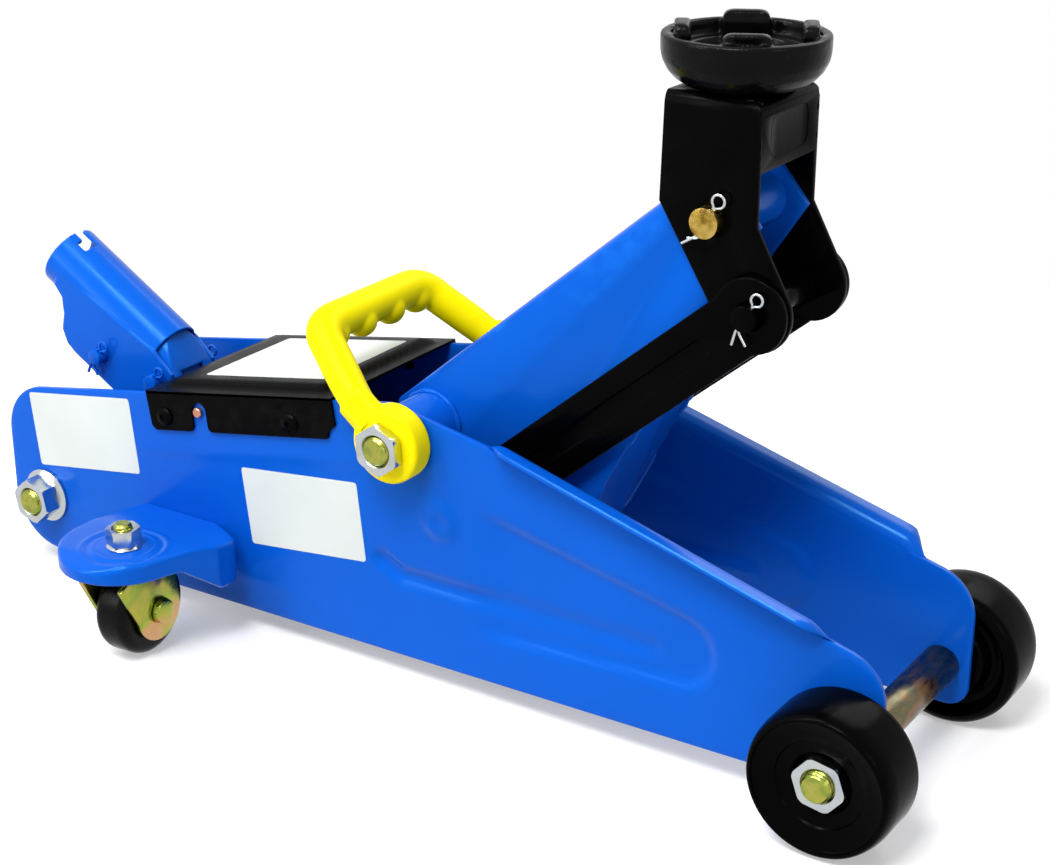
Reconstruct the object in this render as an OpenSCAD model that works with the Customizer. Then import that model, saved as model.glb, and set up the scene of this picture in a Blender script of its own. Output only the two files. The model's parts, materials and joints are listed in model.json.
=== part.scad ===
// Trolley jack: a low two-tonne hydraulic floor jack with a lift arm, a level saddle and swivel casters.
// +X points to the front wheels, +Z up; the origin is on the floor under the middle of the jack.

/* [Frame] */
// Front axle centre to the rear end of the side plates
rear_reach = 426; // [415:1:450]
// Width over the outer faces of the side plates
frame_w = 85.4; // [84:0.1:96]
// Sheet thickness of the side plates
plate_t = 2.5; // [2:0.1:3]
// How far the plates reach in front of the axle
nose_reach = 12; // [10:0.5:16]
// Height of the lower plate edge at the front
sill_front_z = 12; // [8:0.5:15]
// Height of the lower plate edge at the rear
sill_rear_z = 8; // [6:0.5:12]
// Height of the upper plate edge at its rear corner
rear_top_z = 87; // [82:0.5:92]
// Height of the plate above the main pivot centre
pivot_cap = 14; // [12:0.5:18]
// Corner radius at the rear of the plates
rear_corner_r = 25; // [15:1:28]
// Depth of the pressed panels in the plates
press_depth = 1; // [0.5:0.1:1.2]
// Flat width of the turned-out lip on the upper edge
lip_flat = 4; // [2:0.5:6]
// Inner bend radius of the lip
lip_bend_r = 3.8; // [2.5:0.1:5]

/* [Front wheels] */
// Front wheel radius
wheel_r = 29; // [26:0.5:32]
// Front wheel width
wheel_w = 28; // [24:0.5:32]
// Radius of the dished faces of a front wheel
wheel_dish_r = 22.5; // [19:0.5:24]
// Depth of the outer dish to the hub face
wheel_dish_d = 12.2; // [10:0.2:14]
// Radius of the axle between the plates
axle_r = 7.8; // [7.4:0.1:9]
// Radius of the wheel journals
journal_r = 7; // [6.5:0.1:7.2]
// Radius of the threaded axle ends
axle_thread_r = 6; // [5:0.1:6.2]
// Clearance from plate to wheel, filled by a washer
wheel_gap = 1.5; // [1.2:0.1:2.5]

/* [Lift arm] */
// Main pivot distance behind the front axle
pivot_back = 201; // [195:1:208]
// Main pivot height
pivot_z = 107.5; // [104:0.5:111]
// Arm length from main pivot to upper head pin
arm_len = 163.5; // [158:0.5:166]
// Arm angle at rest above horizontal
arm_rest = 40; // [36:1:44]
// Width over the arm's side plates
arm_w = 41; // [39:0.1:42]
// Sheet thickness of the arm
arm_t = 3; // [2.5:0.1:3.5]
// Height of the arm's top sheet over the pivot line
arm_top = 16.4; // [15:0.1:18]
// Radius of the main pivot shaft
pivot_r = 8; // [7:0.1:9]
// Radius of the arm's pivot tube
pivot_tube_r = 13; // [12:0.1:14]
// Crank radius from main pivot to roller
crank_r = 60; // [59:0.5:61]
// Crank lean in front of straight down at rest
crank_lean = 16.5; // [15:0.5:18]
// Crank pin radius
crank_pin_r = 5; // [4.5:0.1:5.5]
// Crank roller radius
roller_r = 10; // [9:0.1:10.5]

/* [Link and head] */
// Link pivot distance in front of its arm pivot
link_dx = 19; // [18:0.5:20]
// Link pivot distance below its arm pivot
link_dz = 31.5; // [31:0.5:33]
// Link bar half width
link_half = 12.5; // [11:0.1:13]
// Link bar thickness
link_t = 3; // [2.5:0.1:3.5]
// Radius of the link bars' frame pins
link_pin_r = 5; // [4.5:0.1:5.5]
// Upper head pin radius
head_pin_r = 5.8; // [5:0.1:6.2]
// Lower head pin radius
low_pin_r = 5; // [4:0.1:5.5]
// Sheet thickness of the head bracket
head_t = 2.5; // [2:0.1:3]
// Length of the head bracket's top
head_len = 39.5; // [36:0.5:41]
// Height of the head bracket over the upper head pin
head_rise = 45; // [42:0.5:49]
// Rounding at the head bracket's lower pin
head_end_r = 15; // [13:0.5:15.5]
// Side clearance between arm, head and link plates
side_gap = 0.4; // [0.3:0.05:0.6]

/* [Saddle] */
// Saddle rim radius
saddle_r = 30.5; // [28:0.5:33]
// Saddle height from head bracket to rim
saddle_h = 18.5; // [16:0.5:22]
// Saddle wall thickness
saddle_t = 4; // [3:0.1:5]
// Height of the saddle lugs above the rim
lug_h = 3.5; // [2:0.5:6]
// Saddle stem radius
stem_r = 9; // [8:0.1:10]

/* [Handle socket] */
// Socket pivot distance behind the front axle
socket_back = 358.5; // [355:0.5:361]
// Socket pivot height
socket_z = 91.5; // [90:0.5:94]
// Socket slope above horizontal at rest
socket_slope = 31.3; // [28:0.1:34]
// Distance from the socket pivot to the mouth
mouth_reach = 78; // [74:0.5:82]
// Bore radius for the pump handle
socket_bore_r = 12.7; // [12.2:0.1:13]
// Sheet thickness of the socket
socket_t = 2; // [1.6:0.1:2.4]
// Height of the bore axis over the socket pivot
bore_rise = 4.6; // [4:0.1:5]
// Radius of the socket pivot pin
socket_pin_r = 3.5; // [3:0.1:3.8]
// Plunger pin distance behind the socket pivot
plunger_dx = 33.5; // [32:0.5:34.5]
// Plunger pin height over the socket pivot
plunger_dz = 5.7; // [5:0.1:6.5]
// Pump plunger radius
plunger_r = 6; // [5:0.1:6.5]

/* [Hydraulics] */
// Cylinder axis height
cyl_z = 53; // [52:0.5:54]
// Reservoir tube radius
reservoir_r = 27; // [25:0.5:28]
// Cylinder bore radius
cyl_bore_r = 13; // [12:0.1:14]
// Cylinder wall thickness
cyl_wall = 5; // [4:0.1:6]
// Ram rod radius
ram_r = 11; // [9:0.1:11.5]
// Length of the gland nut
gland_len = 9; // [8:0.5:12]
// Rear tie rod distance behind the front axle
tie_back = 405.5; // [400:0.5:407]
// Rear tie rod height
tie_z = 34.3; // [32:0.1:38]
// Tie rod radius
tie_r = 6; // [5:0.1:6.5]

/* [Casters] */
// Caster stud distance behind the front axle
caster_back = 311.5; // [308:0.5:318]
// Caster stud distance from the middle plane
caster_y = 89.5; // [87:0.5:92]
// Caster wheel radius
caster_r = 20.5; // [18:0.5:21]
// Caster wheel width
caster_w = 16.5; // [15:0.5:19]
// Trail of the caster wheel behind its stud
caster_trail = 6.5; // [5:0.5:7.5]
// Turn of the caster axle from the X axis at rest
caster_turn = 4; // [0:1:12]
// Top height of the caster brackets
bracket_z = 50; // [49:0.5:52]
// Sheet thickness of the caster brackets
bracket_t = 3; // [2.5:0.1:3.5]
// Radius of the bracket round the stud
bracket_r = 27; // [26.5:0.1:28]
// Caster stud radius
stud_r = 4; // [3.5:0.1:5]

/* [Cover and handle] */
// Cover length along the plates' upper edge
cover_len = 104; // [96:1:106]
// Cover sheet thickness
cover_t = 1.2; // [1:0.1:1.6]
// Depth of the cover's side flanges
cover_drop = 16.5; // [14:0.5:18]
// Rise of the cover's raised panel
panel_rise = 3; // [2:0.5:4]
// Thickness of the carry handle's eyes
eye_t = 11; // [9:0.5:12]
// Radius of the carry handle's eyes
eye_r = 15.8; // [14:0.1:17]
// Distance from the pivot back to the grip
grip_dx = 46; // [44:1:50]
// Height of the grip over the pivot
grip_dz = 36; // [34:1:40]
// Half width between the centre lines of the grip's ends
grip_half = 32; // [30:1:35]
// Grip section radius
grip_r = 8; // [7:0.5:8.5]

/* [Fits] */
// Radial clearance of a running fit
run_fit = 0.05; // [0.02:0.01:0.08]
// Radial clearance of a bolt or fixed pin in its hole
bolt_fit = 0.1; // [0.05:0.05:0.2]
// Gap between faces of moving parts
face_gap = 0.3; // [0.25:0.05:0.5]

/* [Hidden] */
$fn = 72;

// Overall places. The frame stands with its middle over the origin.
mouth_back = socket_back + mouth_reach * cos(socket_slope)
  + (socket_bore_r + socket_t - bore_rise) * sin(socket_slope);
axle_x = (max(rear_reach, mouth_back) - wheel_r) / 2;
function behind(d) = axle_x - d;
half_out = frame_w / 2;
half_in = half_out - plate_t;
pivot = [behind(pivot_back), pivot_z];
arm_dir = [cos(arm_rest), sin(arm_rest)];
head_pin = pivot + arm_len * arm_dir;
link_step = [link_dx, -link_dz];
link_pivot = pivot + link_step;
low_pin = head_pin + link_step;
crank = pivot + crank_r * [sin(crank_lean), -cos(crank_lean)];
tie = [behind(tie_back), tie_z];
axle = [axle_x, wheel_r];

// Stack of plates from the arm outwards
arm_out = arm_w / 2;
arm_in = arm_out - arm_t;
head_in = arm_out + side_gap;
head_out = head_in + head_t;
link_in = head_out + side_gap;
link_out = link_in + link_t;

// Upper edge of the side plates
edge_slope = 9.9;
rear_centre = [behind(rear_reach - rear_corner_r), rear_top_z - rear_corner_r * cos(edge_slope)];
edge_rear = rear_centre + rear_corner_r * [-sin(edge_slope), cos(edge_slope)];
cover_front = behind(pivot_back + 34);
function edge_z(x) = rear_top_z + (x - edge_rear[0]) * tan(edge_slope);
lip_front = [behind(9), wheel_r + 42];
lip_slope = 15.6;
lip_len = 156;
lip_run = lip_len * cos(lip_slope);
lip_r = lip_bend_r + plate_t;
lip_out = half_out + lip_bend_r + lip_flat;

// Nuts: across flats is 1.5 times the thread diameter
nut_ratio = 1.5;
thin_nut_h = 5;
axle_nut_h = 7.8;
washer_t = 1.6;
tie_nut_h = 11;
tie_nut_flange_t = 2.4;
tie_nut_flange_r = 12.5;
thread_past_nut = 1.2;

// Front wheel layout
wheel_in = half_out + wheel_gap;
wheel_out = wheel_in + wheel_w;
hub_out = wheel_out - wheel_dish_d;
axle_nut_in = hub_out + face_gap + washer_t;
axle_end = axle_nut_in + axle_nut_h + 3;

// Handle socket frame: u points up the socket, w square to it
socket_pivot = [behind(socket_back), socket_z];
socket_in = socket_bore_r;
socket_out = socket_bore_r + socket_t;
plunger_pin_at = socket_pivot + [-plunger_dx, plunger_dz];
plunger_x = socket_pivot[0] - 28.5;
plunger_head_h = 16;
plunger_head_len = 29;
plunger_play = 1;
pin_span = [-34.2, -21.6];
gland_top_z = 77;
gland_hex_h = 7;
gland_hex_r = 9.5;

// Hydraulic unit. The ram moves ram_ratio millimetres for each radian of the arm.
lower_deg = 53.3;
raise_deg = 24;
ram_ratio = 56.35 * crank_r / 60;
ram_back = ram_ratio * lower_deg * PI / 180;
ram_forward = ram_ratio * raise_deg * PI / 180;
ram_gap = 2;
ram_face = crank[0] - roller_r - ram_gap;
ram_head_t = 8;
ram_head_r = 13;
piston_t = 9;
end_gap = 0.5;
unit_front = ram_face - ram_head_t - ram_back - end_gap;
cyl_floor = 4;
cyl_seat = 2;
piston_rear = unit_front - gland_len - end_gap - ram_forward - piston_t;
block_front = piston_rear - ram_back - end_gap - cyl_floor + cyl_seat;
unit_len = unit_front - block_front;
valve_stem = 11;
valve_wall = 5;
block_rear = min(tie[0] - 13, plunger_x - plunger_r - valve_wall - valve_stem);
block_top = 60;
block_half = 26;
block_bottom = 20;
anchor = [behind(308), edge_z(behind(308)) - 8];
anchor_r = 2.2;
spring_y = 32.2;
spring_r = 4.4;

// Casters
stud = [behind(caster_back), caster_y];
fork_t = 2.5;
race_t = 1;
fork_top = bracket_z - bracket_t - race_t - 0.1;
fork_in = caster_w / 2 + 0.8;
fork_disc_r = 16.5;
cheek_half = 17.5;
cheek_end_r = 13.5;
neck_half = 11;
rivet_r = 4;
skirt_drop = 8.7;
nut_h = 8.4;

function arc(c, r, a0, a1, n = 10) =
  [for (i = [0:n]) c + r * [cos(a0 + (a1 - a0) * i / n), sin(a0 + (a1 - a0) * i / n)]];
function turn(p, a) = [p[0] * cos(a) - p[1] * sin(a), p[0] * sin(a) + p[1] * cos(a)];

// ---- helpers ----
// Extrude an XZ outline between two Y values
module slab(y0, y1) translate([0, max(y0, y1), 0]) rotate([90, 0, 0])
  linear_extrude(abs(y1 - y0)) children();

// Round bar along Y centred on an XZ point
module bar_y(p, r, y0, y1) translate([p[0], max(y0, y1), p[1]]) rotate([90, 0, 0])
  cylinder(r = r, h = abs(y1 - y0));

// Children once on each side of the middle plane
module both() {
  children();
  mirror([0, 1, 0]) children();
}

// Put children at an XZ point, leaned by an angle above horizontal
module leaned(p, a) translate([p[0], 0, p[1]]) rotate([0, -a, 0]) children();

// Hexagon with chamfered corners along +Z
module hexagon(across, h) intersection() {
  cylinder(r = across / 2 / cos(30), h = h, $fn = 6);
  rotate_extrude() polygon([[0, 0], [across * 0.52, 0], [across * 0.58, h * 0.12],
    [across * 0.58, h * 0.88], [across * 0.49, h], [0, h]]);
}
module nut(across, h, bore) difference() {
  hexagon(across, h);
  translate([0, 0, -1]) cylinder(r = bore, h = h + 2);
}

// The same nut laid along Y from y towards the outside
module nut_y(p, y, across, h, bore) translate([p[0], y, p[1]]) rotate([-90, 0, 0])
  nut(across, h, bore);

// Split pin through a bar: round eye, shank and two spread legs, in its own XZ plane
module cotter(len, eye = 3, wire = 0.8, spread = 28) {
  translate([0, 0, len / 2 + eye]) rotate([90, 0, 0]) rotate_extrude()
    translate([eye, 0]) circle(r = wire, $fn = 24);
  translate([0, 0, -len / 2]) cylinder(r = wire * 1.2, h = len + wire, $fn = 24);
  for (s = [-1, 1]) translate([0, 0, -len / 2]) rotate([0, 180 + s * spread, 0])
    cylinder(r = wire * 0.8, h = 5, $fn = 24);
}

// ---- side plates ----
module plate_outline() polygon(concat(
  arc([axle_x + nose_reach - 9, sill_front_z + 9], 9, -90, 0),
  arc([axle_x + nose_reach - 20, wheel_r + 21], 20, 0, 72),
  [lip_front],
  [lip_front + [-lip_run, lip_run * tan(lip_slope)]],
  arc(pivot + [-4, 0], pivot_cap, 70, 100, 6),
  [[cover_front, edge_z(cover_front)]],
  arc(rear_centre, rear_corner_r, 90 + edge_slope, 180),
  arc([behind(rear_reach - rear_corner_r), sill_rear_z + rear_corner_r], rear_corner_r, 180, 270)));

// Outline of the large pressed panel: a tapered tongue with a round front end
module panel_outline(grow = 0) {
  front = [behind(72), 50];
  polygon(concat(
    arc(front, 15 + grow, -90, 78, 14),
    [[behind(168), 86 + grow]],
    [[behind(176), 60]],
    [[behind(168), 30 - grow]]));
}

// Hooked stiffening groove
module groove_outline(grow = 0) {
  half = 2.6 + grow;
  translate([behind(203), 47 - half]) square([118, 2 * half]);
  translate([behind(203), 47]) circle(r = half);
  translate([behind(85), 47]) circle(r = half);
  translate([behind(203), 47]) rotate(150) translate([0, -half]) square([10, 2 * half]);
}

module lip_section() {
  intersection() {
    difference() {
      translate([half_out + lip_bend_r, 0]) circle(r = lip_r);
      translate([half_out + lip_bend_r, 0]) circle(r = lip_bend_r);
    }
    translate([half_in, 0]) square([lip_r, lip_r]);
  }
  translate([half_in, -3]) square([plate_t, 3.01]);
  translate([half_out + lip_bend_r - 0.01, lip_bend_r]) square([lip_flat, plate_t]);
}

// Turned-out lip along the sloping front part of the upper edge
module lip() intersection() {
  leaned(lip_front, 180 - lip_slope) mirror([0, 0, 1]) rotate([90, 0, 90])
    linear_extrude(lip_len) lip_section();
  translate([behind(lip_len + 9), 0, 0]) cube([lip_len, 80, 200]);
}

screw_back = [327, 257];
module side_plate() difference() {
  union() {
    difference() {
      slab(half_in, half_out) plate_outline();
      slab(half_out - press_depth, half_out + 1) difference() {
        panel_outline();
        groove_outline(3);
      }
      slab(half_out - press_depth, half_out + 1) groove_outline();
    }
    slab(half_in - press_depth, half_in + 0.01) difference() {
      panel_outline(-1.5);
      groove_outline(3);
    }
    slab(half_in - press_depth, half_in + 0.01) groove_outline(-0.6);
    translate([link_pivot[0], half_out - 0.01, link_pivot[1]]) rotate([-90, 0, 0])
      cylinder(r1 = 8, r2 = 5.5, h = 1.6);
    lip();
  }
  bar_y(axle, journal_r + bolt_fit, half_in - 2, half_out + 1);
  bar_y(pivot, pivot_end_r + bolt_fit, half_in - 2, half_out + 1);
  bar_y(tie, tie_r + bolt_fit, half_in - 2, half_out + 1);
  bar_y(link_pivot, link_pin_r + bolt_fit, half_in - 2, half_out);
  bar_y(anchor, anchor_r + bolt_fit, half_in - 2, half_out + 1);
  for (b = screw_back) bar_y([behind(b), edge_z(behind(b)) - 10.5], screw_r + bolt_fit,
    half_in - 2, half_out + 1);
}
module side_plate_left() color("royalblue") side_plate();
module side_plate_right() color("royalblue") mirror([0, 1, 0]) side_plate();

// ---- front axle and wheels ----
module front_axle() color("darkkhaki") {
  bar_y(axle, axle_r, -half_in, half_in);
  both() {
    bar_y(axle, journal_r, half_in, hub_out + face_gap);
    bar_y(axle, axle_thread_r, hub_out + face_gap, axle_end - 1);
    translate([axle[0], axle_end - 1, axle[1]]) rotate([-90, 0, 0])
      cylinder(r1 = axle_thread_r, r2 = axle_thread_r - 1, h = 1);
  }
}
module axle_nuts() color("silver") both()
  nut_y(axle, axle_nut_in, 2 * axle_thread_r * nut_ratio + 1, axle_nut_h, axle_thread_r + bolt_fit);

module axle_washers() color("gainsboro") both() {
  difference() {
    bar_y(axle, 13, hub_out + face_gap, hub_out + face_gap + washer_t);
    bar_y(axle, axle_thread_r + bolt_fit, hub_out, hub_out + 4);
  }
  difference() {
    bar_y(axle, 11.5, half_out, wheel_in - face_gap);
    bar_y(axle, journal_r + bolt_fit, half_out - 1, wheel_in + 1);
  }
}

// Wheel as a turned profile: rounded tread, dished faces and a hub
module front_wheel() translate([axle[0], 0, axle[1]]) rotate([-90, 0, 0]) rotate_extrude(angle = 360)
  polygon(concat(
    [[journal_r + run_fit, wheel_in], [16, wheel_in], [18, wheel_in + 7]],
    [[wheel_dish_r - 1, wheel_in + 7], [wheel_dish_r + 1.5, wheel_in + 0.6]],
    arc([wheel_r - 3.2, wheel_in + 3.2], 3.2, -90, 0, 6),
    arc([wheel_r - 5, wheel_out - 5], 5, 0, 90, 8),
    [[wheel_dish_r + 1, wheel_out], [wheel_dish_r - 1.5, wheel_out - 6]],
    [[17.5, hub_out - 1.5], [16, hub_out], [journal_r + run_fit, hub_out]]));
module front_wheel_left() color("black") front_wheel();
module front_wheel_right() color("black") mirror([0, 1, 0]) front_wheel();

// ---- rear tie rod ----
tie_end = half_out + tie_nut_h + thread_past_nut;
module tie_rod() color("darkkhaki") bar_y(tie, tie_r, -tie_end, tie_end);
module tie_nuts() color("silver") both() {
  difference() {
    bar_y(tie, tie_nut_flange_r, half_out, half_out + tie_nut_flange_t);
    bar_y(tie, tie_r + bolt_fit, half_out - 1, half_out + 4);
  }
  nut_y(tie, half_out + tie_nut_flange_t - 0.01, 2 * tie_r * nut_ratio + 0.5,
    tie_nut_h - tie_nut_flange_t, tie_r + bolt_fit);
}

// ---- cover ----
screw_r = 2;
flange_in = half_out + 0.1;
flange_out = flange_in + cover_t;
cover_rear = [cover_front - cover_len * cos(edge_slope),
  edge_z(cover_front - cover_len * cos(edge_slope))];
bevel = 7;
module cover_shell(grow) hull() {
  translate([bevel - 2 - grow, -(half_out - 3 + grow), 0])
    cube([cover_len - 2 * bevel + 4 + 2 * grow, 2 * (half_out - 3 + grow), 0.02]);
  translate([bevel + 3 - grow, -(half_out - 8 + grow), panel_rise])
    cube([cover_len - 2 * bevel - 6 + 2 * grow, 2 * (half_out - 8 + grow), 0.02]);
}
module cover_plate() color("#222426") difference() {
  leaned(cover_rear, edge_slope) difference() {
    union() {
      translate([0, -flange_out, 0]) cube([cover_len, 2 * flange_out, cover_t]);
      translate([0, 0, cover_t]) cover_shell(0);
      both() difference() {
        translate([0, flange_in, -cover_drop]) cube([cover_len, cover_t, cover_drop + cover_t]);
        translate([cover_len - 5, flange_in - 1, -cover_drop - 1]) difference() {
            cube([6, 4, 6]);
            translate([0, -1, 6]) rotate([-90, 0, 0]) cylinder(r = 5, h = 6);
          }
      }
    }
    translate([0, 0, -0.01]) cover_shell(-cover_t);
  }
  both() slab(flange_in - 1, flange_out + 1) union() {
    translate([anchor[0] - 5.5, anchor[1] - 30]) square([8.5, 34]);
    for (b = screw_back) translate([behind(b), edge_z(behind(b)) - 10.5])
      circle(r = screw_r + bolt_fit);
  }
}
module cover_screws() color("#222426") both() for (b = screw_back) {
  p = [behind(b), edge_z(behind(b)) - 10.5];
  bar_y(p, screw_r, half_in - 1.5, flange_out + 1);
  translate([p[0], flange_out, p[1]]) rotate([-90, 0, 0])
    cylinder(r1 = 4.2, r2 = 3, h = 1.8);
}

// ---- rod that the return springs hook on ----
module spring_anchor_rod() color("sandybrown") bar_y(anchor, anchor_r, -half_out - 2, half_out + 2);

// ---- main pivot ----
pivot_end_r = 6;
eye_in = half_out + face_gap;
eye_out = eye_in + eye_t;
pivot_nut_in = eye_out + face_gap;
pivot_end = pivot_nut_in + thin_nut_h + thread_past_nut;
module pivot_shaft() color("darkkhaki") {
  bar_y(pivot, pivot_r, -half_in, half_in);
  both() bar_y(pivot, pivot_end_r, half_in, pivot_end);
}
module pivot_nuts() color("silver") both()
  nut_y(pivot, pivot_nut_in, 2 * pivot_end_r * nut_ratio + 1, thin_nut_h, pivot_end_r + bolt_fit);

// ---- carry handle ----
grip = pivot + [-grip_dx, grip_dz];
grip_angle = atan(grip_dz / grip_dx);
arm_bend = 0.6;
module knob(p, y, r) translate([p[0], y, p[1]]) sphere(r = r, $fn = 32);
module carry_handle() color("yellow") difference() {
  union() {
    both() {
      bar_y(pivot, eye_r, eye_in, eye_out);
      hull() {
        bar_y(pivot + [-8, 6], 7, eye_in + 1, eye_out);
        bar_y(pivot + arm_bend * (grip - pivot), 6.5, eye_in, eye_out - 1);
      }
      hull() {
        bar_y(pivot + arm_bend * (grip - pivot), 6.5, eye_in, eye_out - 1);
        knob(grip, grip_half, grip_r);
      }
    }
    hull() both() knob(grip, grip_half, grip_r);
    for (k = [-1.5, -0.5, 0.5, 1.5]) translate([grip[0], k * 15, grip[1]]) rotate([0, grip_angle, 0])
      translate([grip_r * 0.5, 0, 0]) sphere(r = grip_r * 0.82, $fn = 24);
  }
  both() bar_y(pivot, pivot_end_r + run_fit, half_out - 1, eye_out + 1);
}

// ---- lift arm ----
// Outline of one side plate in the arm's own frame, pivot at the origin
crank_local = turn(crank - pivot, -arm_rest);
tip = 13.8;
arm_low_tip = [arm_len - 9.8, -19.8];
arm_low_crank = [22.3, -73.8];
module arm_outline() polygon(concat(
  [[-9, arm_top], [arm_len - 2, arm_top]],
  arc([arm_len + tip - 12, arm_top - 12], 12, 80, 0, 6),
  [[arm_len + tip, -12.7], arm_low_tip, arm_low_crank],
  arc(crank_local, 12.5, -80, -190, 8),
  arc([0, 0], 18, 190, 120, 6)));
low_run = arm_low_tip - arm_low_crank;
low_slope = atan2(low_run[1], low_run[0]);
low_len = norm(low_run);
module lift_arm() color("royalblue") leaned(pivot, arm_rest) difference() {
  union() {
    both() slab(arm_in, arm_out) arm_outline();
    translate([2, -arm_out, arm_top - arm_t]) cube([arm_len - 4, arm_w, arm_t]);
    translate([arm_low_crank[0], 0, arm_low_crank[1]]) rotate([0, -low_slope, 0])
      translate([2, -arm_out, 0]) cube([low_len - 4, arm_w, arm_t]);
    bar_y([0, 0], pivot_tube_r, -half_in + face_gap, half_in - face_gap);
    bar_y([arm_len, 0], head_pin_r + 4, -arm_out, arm_out);
    both() bar_y(crank_local, crank_pin_r + 3, arm_in - 0.2, arm_out);
  }
  bar_y([0, 0], pivot_r + run_fit, -half_out, half_out);
  bar_y([arm_len, 0], head_pin_r + run_fit, -half_out, half_out);
  bar_y(crank_local, crank_pin_r, -half_out, half_out);
}
crank_pin_end = spring_y + 6;
module crank_pin() color("silver") difference() {
  bar_y(crank, crank_pin_r, -crank_pin_end, crank_pin_end);
  both() difference() {
    bar_y(crank, crank_pin_r + 1, spring_y - 1.4, spring_y + 1.4);
    bar_y(crank, crank_pin_r - 1.4, spring_y - 2, spring_y + 2);
  }
}
module crank_roller() color("silver") difference() {
  bar_y(crank, roller_r, -arm_in + 0.2 + face_gap, arm_in - 0.2 - face_gap);
  bar_y(crank, crank_pin_r + run_fit, -arm_out, arm_out);
}

// ---- link bars ----
module link_bar() leaned(link_pivot, arm_rest) difference() {
  slab(link_in, link_out) union() {
    translate([0, -link_half]) square([arm_len, 2 * link_half]);
    circle(r = link_half);
    translate([arm_len, 0]) circle(r = head_end_r - 0.5);
  }
  slab(link_out - 1, link_out + 1) union() {
    translate([22, -3.5]) square([arm_len - 48, 7]);
    translate([22, 0]) circle(r = 3.5);
    translate([arm_len - 26, 0]) circle(r = 3.5);
  }
  bar_y([0, 0], link_pin_r + run_fit, 0, half_out);
  bar_y([arm_len, 0], low_pin_r + run_fit, 0, half_out);
}
module link_left() color("black") link_bar();
module link_right() color("black") mirror([0, 1, 0]) link_bar();

// Pins that carry the link bars, each held in a pressed boss of its side plate
link_pin_in = link_in - 2;
module link_pins() color("silver") both() difference() {
  union() {
    bar_y(link_pivot, link_pin_r, link_pin_in, half_out - 0.05);
    bar_y(link_pivot, link_pin_r + 3, link_out + face_gap, half_in - 0.1);
  }
  difference() {
    bar_y(link_pivot, link_pin_r + 1, link_in - 1.3, link_in - 0.4);
    bar_y(link_pivot, link_pin_r - 0.8, link_in - 1.5, link_in);
  }
}
module link_pin_rings() color("dimgray") both() difference() {
  bar_y(link_pivot, link_pin_r + 2.2, link_in - 1.2, link_in - 0.5);
  bar_y(link_pivot, link_pin_r - 0.7, link_in - 2, link_in);
}

// ---- head bracket ----
head_rear = head_pin[0] - head_len / 2 - 1;
head_front = head_rear + head_len;
head_top = head_pin[1] + head_rise;
web_drop = 26;
head_lean = 1.3;
module head_outline() polygon(concat(
  [[head_rear + head_lean, head_top], [head_rear, head_pin[1] + 4.5]],
  arc(low_pin, head_end_r, 205, 385, 16),
  [[head_front, head_pin[1]], [head_front, head_top]]));
module head_bracket() color("black") difference() {
  union() {
    both() slab(head_in, head_out) head_outline();
    translate([head_rear + head_lean, -head_out, head_top - head_t])
      cube([head_len - head_lean, 2 * head_out, head_t]);
    translate([head_front - head_t, -head_out, head_top - web_drop])
      cube([head_t, 2 * head_out, web_drop]);
  }
  bar_y(head_pin, head_pin_r + bolt_fit, -half_out, half_out);
  bar_y(low_pin, low_pin_r + bolt_fit, -half_out, half_out);
  translate([head_pin[0], 0, head_top - head_t - 1]) cylinder(r = stem_r + run_fit, h = head_t + 2);
}
upper_end = head_out + 4.6;
lower_end = link_out + 4.5;
module upper_pin() color("darkkhaki") difference() {
  bar_y(head_pin, head_pin_r, -upper_end, upper_end);
  both() translate([head_pin[0], upper_end - 2.4, head_pin[1]]) rotate([0, 30, 0])
    translate([0, 0, -10]) cylinder(r = 1.1, h = 20);
}
module upper_cotters() color("silver") both()
  translate([head_pin[0], upper_end - 2.4, head_pin[1]]) rotate([0, 30, 0])
    cotter(2 * head_pin_r + 1);
module lower_pin() color("black") difference() {
  bar_y(low_pin, low_pin_r, -lower_end, lower_end);
  both() translate([low_pin[0], lower_end - 2.2, low_pin[1]]) rotate([0, 30, 0])
    translate([0, 0, -10]) cylinder(r = 1.1, h = 20);
}
module lower_cotters() color("silver") both()
  translate([low_pin[0], lower_end - 2.2, low_pin[1]]) rotate([0, 30, 0])
    cotter(2 * low_pin_r + 1);

// ---- saddle ----
rim_z = head_top + saddle_h + face_gap;
seat_z = head_top + face_gap;
module saddle() color("black") translate([head_pin[0], 0, 0]) {
  rotate_extrude() polygon([[0, seat_z], [saddle_r * 0.7, seat_z], [saddle_r * 0.78, seat_z + 2.2],
    [saddle_r * 0.87, seat_z + 5], [saddle_r - 1.4, rim_z - 9], [saddle_r, rim_z - 5.5],
    [saddle_r, rim_z], [saddle_r - saddle_t, rim_z], [saddle_r - saddle_t - 1.5, rim_z - 8],
    [saddle_r * 0.66, seat_z + 8], [0, seat_z + 8]]);
  difference() {
    for (a = [0:90:270]) rotate(a + 28) translate([saddle_r - saddle_t - 4.5, -9, seat_z + 7])
      cube([saddle_t + 1.5, 18, rim_z + lug_h - seat_z - 7]);
    difference() {
      cylinder(r = saddle_r + 9, h = rim_z + 20);
      cylinder(r = saddle_r - saddle_t - 0.3, h = rim_z + 30);
    }
  }
  translate([0, 0, head_top - head_t - 5]) difference() {
    cylinder(r = stem_r, h = head_t + 6);
    difference() {
      translate([0, 0, 2.5]) cylinder(r = stem_r + 1, h = 1.6);
      translate([0, 0, 2.4]) cylinder(r = stem_r - 1.2, h = 1.8);
    }
  }
}
module saddle_clip() color("dimgray") translate([head_pin[0], 0, head_top - head_t - 2.4])
  difference() {
    cylinder(r = stem_r + 3, h = 1.4);
    translate([0, 0, -1]) cylinder(r = stem_r - 1.1, h = 4);
    translate([0, -2.5, -1]) cube([20, 5, 4]);
  }

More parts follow.
